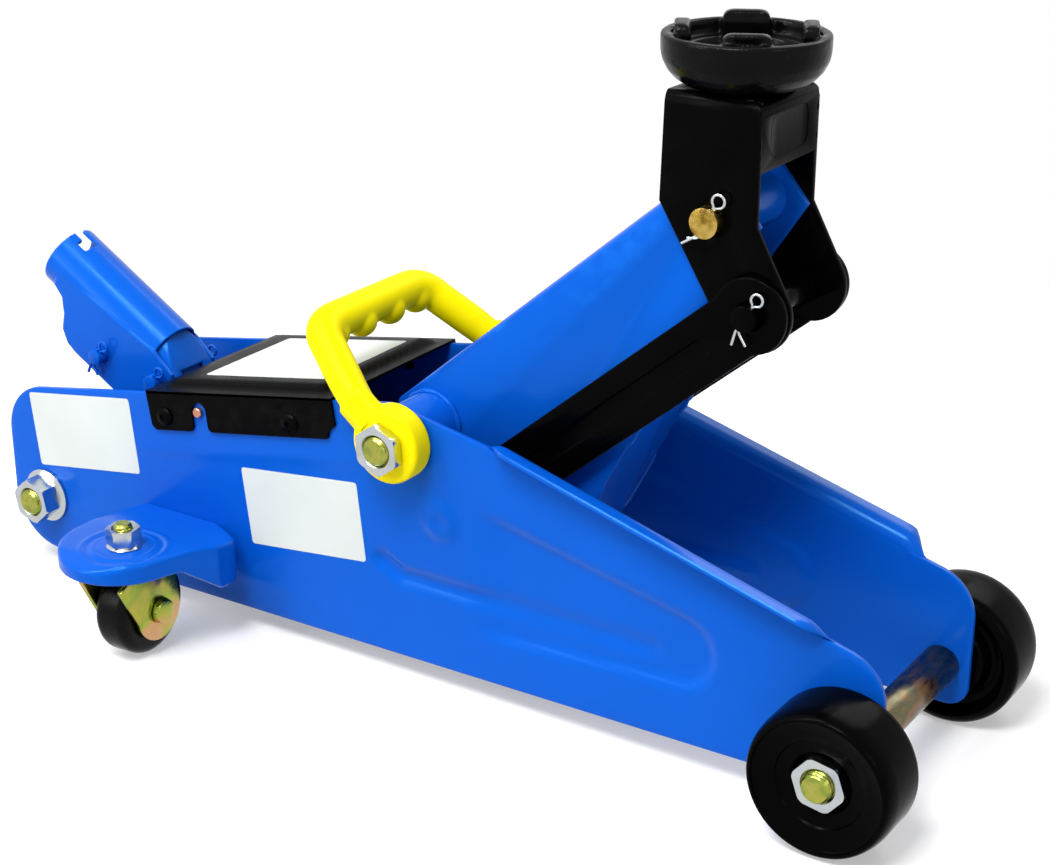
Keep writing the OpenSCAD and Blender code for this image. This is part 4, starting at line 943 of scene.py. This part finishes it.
head = from_node("head_bracket")
round_edges(head, 5.2, pick=head_fold, segments=7)
round_edges(head, 1.2, pick=head_corner, segments=3)
half, low, high = 14.5, HEAD_HIGH[2] - 22.0, HEAD_HIGH[2] - 6.5
recess = sheet(fillet(rectangle(-half, half, low, high), 5.0), flat,
               HEAD_FRONT - 0.4, HEAD_FRONT + 4, place=lambda a, b, h: (h, a, b))
head = cut(head, recess)
round_edges(head, 0.4)
beads = []
for side in (-1, 1):
    corner_y, top = side * (HEAD_OUT - 3.6), HEAD_HIGH[2] - 0.6
    beads.append(weld([(HEAD_FRONT - 1.4, corner_y, top - 0.9), (HEAD_FRONT - 8.0, corner_y, top - 0.3)],
                      1.5, side + 20, amount=0.8))
    edge_y = side * (HEAD_OUT - 1.2)
    beads.append(weld([(HEAD_FRONT - 0.9, edge_y, HEAD_HIGH[2] - 4.5),
                       (HEAD_FRONT - 0.7, edge_y, HEAD_HIGH[2] - 24.0)], 0.9, side + 22, amount=0.7))
piece("head_skin", head, "black_paint", "head", ["head_bracket"], sharp=34)
piece("head_welds", join(*beads), "black_paint", "head", sharp=60)


def cotter(at, tilt, pin_r, eye, wire, flip):
    """A split pin: eye above the pin, two legs through it, bent apart below."""
    reach, split, centre = pin_r + 0.4, wire * 0.62, pin_r + eye + 1.2
    legs, bends = [], 8
    for s, spread, length in ((1, 58, 5.6), (-1, 22, 7.0)):
        leg, u, v = [(reach + 0.5, s * split), (0.0, s * split), (-reach, s * split)], -reach, s * split
        for k in range(1, bends + 1):
            a = radians(spread * min(1.0, k / 3))
            u, v = u - length / bends * cos(a), v + flip * length / bends * sin(a)
            leg.append((u, v + s * 0.12 * k))
        legs.append(leg)
    loop = [(2 * centre - u, v) for u, v in arc((centre, 0), eye, 30, 330, 24)]
    whole = legs[0][::-1] + loop + legs[1]
    c, s = cos(radians(tilt)), sin(radians(tilt))
    points = [(at[0] + u * s + v * c, at[1], at[2] + u * c - v * s) for u, v in whole]
    return sweep(points, wire * 0.8, 10, up=Vector((0, 1, 0)))


def cotters(name, pins, y, tilt, pin_r, eye, wire, mat, body, flip=1):
    """The split pins at both ends of each pin."""
    parts = [cotter((x, side * y, z), tilt, pin_r, eye, wire, flip) for x, z in pins for side in (-1, 1)]
    piece(name + "_cotter_wires", join(*parts), mat, body, [name + "_cotters"], sharp=60)


UPPER_END, LOWER_END, SOCKET_END = [box_mm(pin)[1][1] for pin in ("upper_pin", "lower_pin", "socket_pin")]
cotters("upper", [HEAD_PIN], UPPER_END - 2.4, 30, 5.8, 2.5, 0.72, "zinc_plate", "head", -1)
cotters("lower", [middle_xz("lower_pin")], LOWER_END - 2.2, 30, 5.0, 2.3, 0.70, "zinc_plate", "head")
cotters("socket", [SOCKET, middle_xz("plunger_pin")], SOCKET_END - 2.2, 40, 3.5, 2.2, 0.8,
        "blue_paint", "socket")

# Saddle: cast cup with four lugs
SEAT = HEAD_HIGH[2] + 0.3
RIM = SEAT + 18.5
SADDLE_LOW, SADDLE_TOP = heights("saddle")
cup = raised([(0, 0), (20.8, 0), (22.2, 0.5), (25.4, 2.6), (28.0, 5.4), (29.8, 9.0), (30.4, 12.0)], SEAT)
cup += raised([(30.5, -0.8), (29.9, 0), (27.0, 0), (26.4, -0.8), (26.0, -4.5), (25.2, -5.6), (22.4, -5.8),
               (21.6, -6.6)], RIM)
cup += raised([(20.6, 8.4), (19.4, 8.0), (0, 8.0)], SEAT)
stem = raised([(0, 0), (8.6, 0), (9.0, 0.4), (9.0, 2.5), (7.8, 2.6), (7.8, 4.0), (9.0, 4.1)], SADDLE_LOW)
stem += [(9.0, SEAT + 1), (0, SEAT + 1)]
saddle_at = (HEAD_PIN[0], 0, 0)
parts = [revolve(cup, saddle_at, "Z", 96)]
for k in range(4):
    shape = fillet(rectangle(-8.8, 8.8, SEAT + 7, SADDLE_TOP), [0.5, 0.5, 4.0, 4.0], 5)
    lug = sheet(shape, flat, 21.4, 26.3, place=lambda a, b, h: (h, a, b))
    for v in lug.verts:
        v.co.x = sqrt(max(1.0, v.co.x ** 2 - v.co.y ** 2))
    lug.transform(Matrix.Translation(saddle_at) @ Matrix.Rotation(radians(28 + 90 * k), 4, "Z"))
    parts.append(lug)
saddle = soften(join(*parts), 0.7, 5)
saddle = join(saddle, revolve(stem, saddle_at, "Z", 48))
piece("saddle_skin", saddle, "black_cast", "saddle", ["saddle"], sharp=50)

# ---------- casters ----------
NUT_SEAT = heights("caster_nuts")[0]


def bracket_mesh(side, tag):
    """The pressed dome, its edges soft, with rings round the stud."""
    bm = from_node("caster_bracket_" + tag)
    hub = Vector((STUD[0], side * STUD[1]))
    edges = [e for e in bm.edges if len(e.link_faces) == 2 and e.calc_face_angle(0) > radians(30)
             and e.is_convex and min(v.co.z for v in e.verts) > 43.5
             and min((v.co.xy - hub).length for v in e.verts) > 16
             and max(abs(v.co.y) for v in e.verts) > HALF_OUT + 2]
    bmesh.ops.bevel(bm, geom=edges, offset=3.9, offset_type="OFFSET", segments=5, profile=0.5,
                    affect="EDGES", clamp_overlap=True)
    bm = soften(bm, 0.62, 9)
    for v in bm.verts:
        r = hypot(v.co.x - STUD[0], v.co.y - side * STUD[1])
        if v.co.z > 48.2 and v.normal.z > 0.6 and r < 26:
            v.co.z += 0.42 * (exp(-((r - 13.2) / 1.0) ** 2) + 0.8 * exp(-((r - 18.2) / 1.1) ** 2)
                              - 0.9 * exp(-((r - 15.7) / 1.0) ** 2))
    return bm


ROLLER_HALF, ROLLER_CORNER = 8.25, 4.3
ROLLER_SIDE = [(4.15, 0.4), (4.6, 0), (10.0, 0), (10.6, 0.9), (12.6, 0.9), (13.2, 0), (14.5, 0)]
ROLLER = raised(ROLLER_SIDE, -ROLLER_HALF)
ROLLER += arc((16.2, -ROLLER_HALF + ROLLER_CORNER), ROLLER_CORNER, -82, 0, 7)
ROLLER += arc((16.2, ROLLER_HALF - ROLLER_CORNER), ROLLER_CORNER, 0, 82, 7)
ROLLER += [(r, ROLLER_HALF - d) for r, d in reversed(ROLLER_SIDE)]
for side, tag in SIDES:
    piece("bracket_skin_" + tag, bracket_mesh(side, tag), "blue_paint", "frame",
          ["caster_bracket_" + tag], sharp=50)
    body = "caster_" + tag
    refine("caster_fork_" + tag, "yellow_chromate", body, 0.6, "fork_skin_" + tag)
    refine("caster_axle_" + tag, "yellow_chromate", body, 0.7, "rivet_skin_" + tag,
           slot=SLOT_OF["caster_axle_" + tag])
    roll = revolve(ROLLER, (0, 0, 0), "X", 72)
    lean = Matrix.Rotation(side * radians(-4), 4, "Z")
    roll.transform(Matrix.Translation(middle("caster_wheel_" + tag)) @ lean)
    piece("roller_" + tag, roll, "black_plastic", "caster_wheel_" + tag, ["caster_wheel_" + tag], sharp=32)

STUD_LOW, STUD_TOP = heights("caster_studs")
THREAD_LOW = NUT_SEAT + 2
STUD_HEAD = [(0, STUD_LOW), (7.6, STUD_LOW), (8.0, STUD_LOW + 0.5), (7.6, STUD_LOW + 1.6),
             (4, STUD_LOW + 1.6), (3.95, THREAD_LOW + 0.2), (0, THREAD_LOW + 0.2)]
studs, nuts = [], []
for side in (-1, 1):
    x, y = STUD[0], side * STUD[1]
    studs.append(threaded((x, y, THREAD_LOW), 4.0, STUD_TOP - THREAD_LOW, 1.25, "Z"))
    studs.append(revolve(STUD_HEAD, (x, y, 0), "Z", 36))
    nuts.append(nut((x, y, NUT_SEAT), 4.05, 12.9, 8.4, "Z", 0.17, 7.4, 1.4))
piece("stud_skin", join(*studs), "bolt_end", "frame", ["caster_studs"], 45)
piece("caster_nuts_skin", join(*nuts), "zinc_plate", "frame", ["caster_nuts"], sharp=24)


# ---------- springs ----------
def coil_path(a, b, plane_y, turns, r, start, stop, hook_a, hook_b, n=14):
    """A spring's wire from the hook round one bar, through its coils, to the hook round the other."""
    a, b = Vector((a[0], plane_y, a[1])), Vector((b[0], plane_y, b[1]))
    along = (b - a).normalized()
    across, side = Vector((-along.z, 0, along.x)), Vector((0, 1, 0))
    tail = (b - a).length - stop
    hook_turn, bends = 305, 21

    def hook(centre, radius, first, sign):
        angles = [radians(first + sign * hook_turn * k / bends) for k in range(bends + 1)]
        return [centre + along * (radius * cos(t)) + across * (radius * sin(t)) for t in angles]
    points = hook(a, hook_a, 215, -1)
    points += [a - across * hook_a + along * (start * 0.5),
               a - across * (hook_a * 0.6 + r * 0.4) + along * (start * 0.85)]
    total = int(turns * n)
    for k in range(total + 1):
        t = k / n * 2 * pi
        d = start + (stop - start) * k / total
        points.append(a + along * d - across * (r * cos(t)) + side * (r * sin(t)))
    points += [b - across * (hook_b * 0.6 + r * 0.4) - along * (tail * 0.85),
               b - across * hook_b - along * (tail * 0.5)]
    return points + hook(b, hook_b, -90, 1)


SPRING_Y = 32.2
LEAD_IN, LEAD_OUT, COIL_PITCH = 13.5, 16.5, 1.72
run = hypot(CRANK[0] - ANCHOR[0], CRANK[1] - ANCHOR[1])
turns = round((run - LEAD_IN - LEAD_OUT) / COIL_PITCH)
springs = []
for side in (-1, 1):
    wire = coil_path(ANCHOR, CRANK, side * SPRING_Y, turns, 3.6, LEAD_IN, run - LEAD_OUT, ANCHOR_R + 0.9, 4.5)
    springs.append(sweep(wire, 0.78, 8, up=Vector((0, 1, 0))))
piece("spring_wires", join(*springs), "spring_steel",
      ("frame", "arm", [ANCHOR[0] * MM, 0, ANCHOR[1] * MM], [CRANK[0] * MM, 0, CRANK[1] * MM]),
      ["return_springs"], sharp=60)

PLUNGER_X = middle("pump_plunger")[0]
SPRING_LOW, SPRING_HIGH = heights("plunger_spring")
coil = []
turns, n = 6.5, 24
for k in range(int(turns * n) + 1):
    t = k / (turns * n)
    squeeze = step((t - 0.02) / 0.96)
    lift = SPRING_LOW + 0.85 + (SPRING_HIGH - SPRING_LOW - 1.7) * (0.35 * squeeze + 0.65 * t)
    a = 2 * pi * k / n
    coil.append((PLUNGER_X + 7.7 * cos(a), 7.7 * sin(a), lift))
piece("plunger_spring_wire", sweep(coil, 0.8, 10, up=Vector((0, 0, 1))), "spring_steel",
      ("frame", "pump_plunger", [PLUNGER_X * MM, 0, SPRING_LOW * MM],
       [PLUNGER_X * MM, 0, SPRING_HIGH * MM]), ["plunger_spring"], sharp=60)


# ---------- pump, socket and small parts ----------
piece("block_skin", soften(from_node("pump_block"), 0.8, 3), "blue_casting", "frame", ["pump_block"],
      sharp=50)
# Node, material, body, edge radius and, where it isn't the node's, the piece's name
SMALL_PARTS = (
    ("reservoir_tube", "blue_paint", "frame", 0.5, "reservoir_skin"),
    ("ram", "ground_steel", "ram", 0.6),
    ("filler_plug", "seal_rubber", "frame", 0.5, "plug_skin"),
    ("pump_plunger", "ground_steel", "pump_plunger", 0.6, "plunger_skin"),
    ("release_valve", "zinc_plate", "release_valve", 0.4, "valve_skin"),
    ("crank_pin", "zinc_plate", "arm", 0.4),
    ("crank_roller", "bare_steel", "crank_roller", 0.6, "roller_skin"),
    ("upper_pin", "copper_plate", "head", 0.5),
    ("lower_pin", "black_paint", "head", 0.5),
    ("link_pins", "zinc_plate", "frame", 0.4),
    ("socket_pin", "blue_paint", "socket", 0.4),
    ("plunger_pin", "blue_paint", "socket", 0.4),
    ("socket_yoke", "blue_paint", "socket", 0.5, "yoke_skin"),
)
for part in SMALL_PARTS:
    refine(*part)
refine("gland_nut", "bare_steel", "frame", 0.5, angle=30, sharp=30)
refine("pump_gland", "yellow_chromate", "frame", 0.4, angle=30, sharp=30)
# The zinc axle washers get black paint: painted shade for the dark hub recess round them.
refine("axle_washers", "black_paint", "frame", 0.2, slot="zinc_plate")
piece("socket_skin", soften(from_node("handle_socket"), 0.5, 3), "blue_paint", "socket",
      ["handle_socket"], sharp=50)

for name, obj in NODES.items():
    for material_slot in obj.material_slots:
        material_slot.material = MATS[SLOT_OF[name]]


# ---------- camera, floor and light ----------
AZ, EL, DIST = radians(33.4104), radians(21.8889), 0.843495
LENS = 70.952571
target = Vector((AXLE_X * MM - 0.169602, 0.0, 0.10284))
away = Vector((sin(AZ) * cos(EL), -cos(AZ) * cos(EL), sin(EL)))
cam_data = bpy.data.cameras.new("camera")
cam = link_object("camera", cam_data)
cam_data.sensor_width = 36.0
cam_data.lens = LENS
cam_data.clip_start, cam_data.clip_end = 0.01, 50.0
cam.location = target + away * DIST
cam.rotation_euler = (pi / 2 - EL, 0.0, AZ)
scene.camera = cam
scene.view_settings.view_transform = "Standard"


def mix_node(tree, factor, first, second):
    return add_node(tree, "MixShader", {"Fac": factor, 1: first.outputs[0], 2: second.outputs[0]})


def floor_material():
    """White to the camera apart from the shadow, white in reflections, soft grey to other rays."""
    mat, tree = new_material("studio_floor")
    path, coords = add_node(tree, "LightPath"), add_node(tree, "TexCoord")
    plain = add_node(tree, "BsdfDiffuse", {"Color": (0.70, 0.70, 0.70, 1)})
    white = add_node(tree, "Emission", {"Strength": 1.0})
    shade = add_node(tree, "BsdfDiffuse", {"Color": (0.72, 0.72, 0.72, 1)})
    glow = add_node(tree, "Emission", {"Strength": 0.36})
    near = add_node(tree, "AddShader", {0: shade.outputs[0], 1: glow.outputs[0]})
    far = add_node(tree, "VectorMath", {0: coords.outputs["Object"]}, operation="LENGTH")
    fade = add_node(tree, "MapRange", {"Value": far.outputs["Value"], "From Min": 0.34, "From Max": 0.62})
    mirror = math_node(tree, "MAXIMUM", path.outputs["Is Glossy Ray"], path.outputs["Is Transmission Ray"])
    seen = mix_node(tree, fade.outputs[0], near, white)
    unseen = mix_node(tree, mirror, plain, white)
    whole = mix_node(tree, path.outputs["Is Camera Ray"], unseen, seen)
    add_node(tree, "OutputMaterial", {"Surface": whole.outputs[0]})
    return mat


bm = bmesh.new()
bmesh.ops.create_grid(bm, x_segments=1, y_segments=1, size=6.0)
floor = mesh_object("studio_floor", bm)
floor.location.z = -0.0003
floor.data.materials.append(floor_material())


def world_light():
    """White behind everything, a soft grey room for the light that falls on the object."""
    world = bpy.data.worlds.new("studio")
    scene.world = world
    world.use_nodes = True
    tree = world.node_tree
    tree.nodes.clear()
    room = add_node(tree, "Background", {"Strength": 0.42})
    white = add_node(tree, "Background", {"Color": (1, 1, 1, 1), "Strength": 1.0})
    path = add_node(tree, "LightPath")
    seen = math_node(tree, "MAXIMUM", path.outputs["Is Camera Ray"], path.outputs["Is Glossy Ray"])
    clear = math_node(tree, "MAXIMUM", seen, path.outputs["Is Transmission Ray"])
    mix = mix_node(tree, clear, room, white)
    add_node(tree, "OutputWorld", {"Surface": mix.outputs[0]})


world_light()


def area_light(name, loc, size, power, size_y=None, aim=(0, 0, 0.1)):
    """A lamp of so many metres, turned to the point that it aims at."""
    data = bpy.data.lights.new(name, "AREA")
    data.energy = power
    data.shape = "RECTANGLE"
    data.size, data.size_y = size, size_y or size
    lamp = link_object(name, data)
    lamp.location = loc
    lamp.rotation_euler = (Vector(aim) - Vector(loc)).to_track_quat("-Z", "Y").to_euler()


area_light("key", (0.15, -0.95, 1.6), 0.6, 25)
area_light("strip", (-0.7, -1.2, 0.9), 0.14, 4, 1.2)
area_light("top", (-0.5, -0.45, 1.25), 0.16, 9, 0.9, (0.05, 0, 0.2))
area_light("fill", (-1.0, -1.3, 0.7), 0.9, 4)
area_light("front", (1.4, -0.4, 0.8), 0.4, 1.6)
area_light("rim", (0.2, 1.3, 1.3), 0.9, 7)
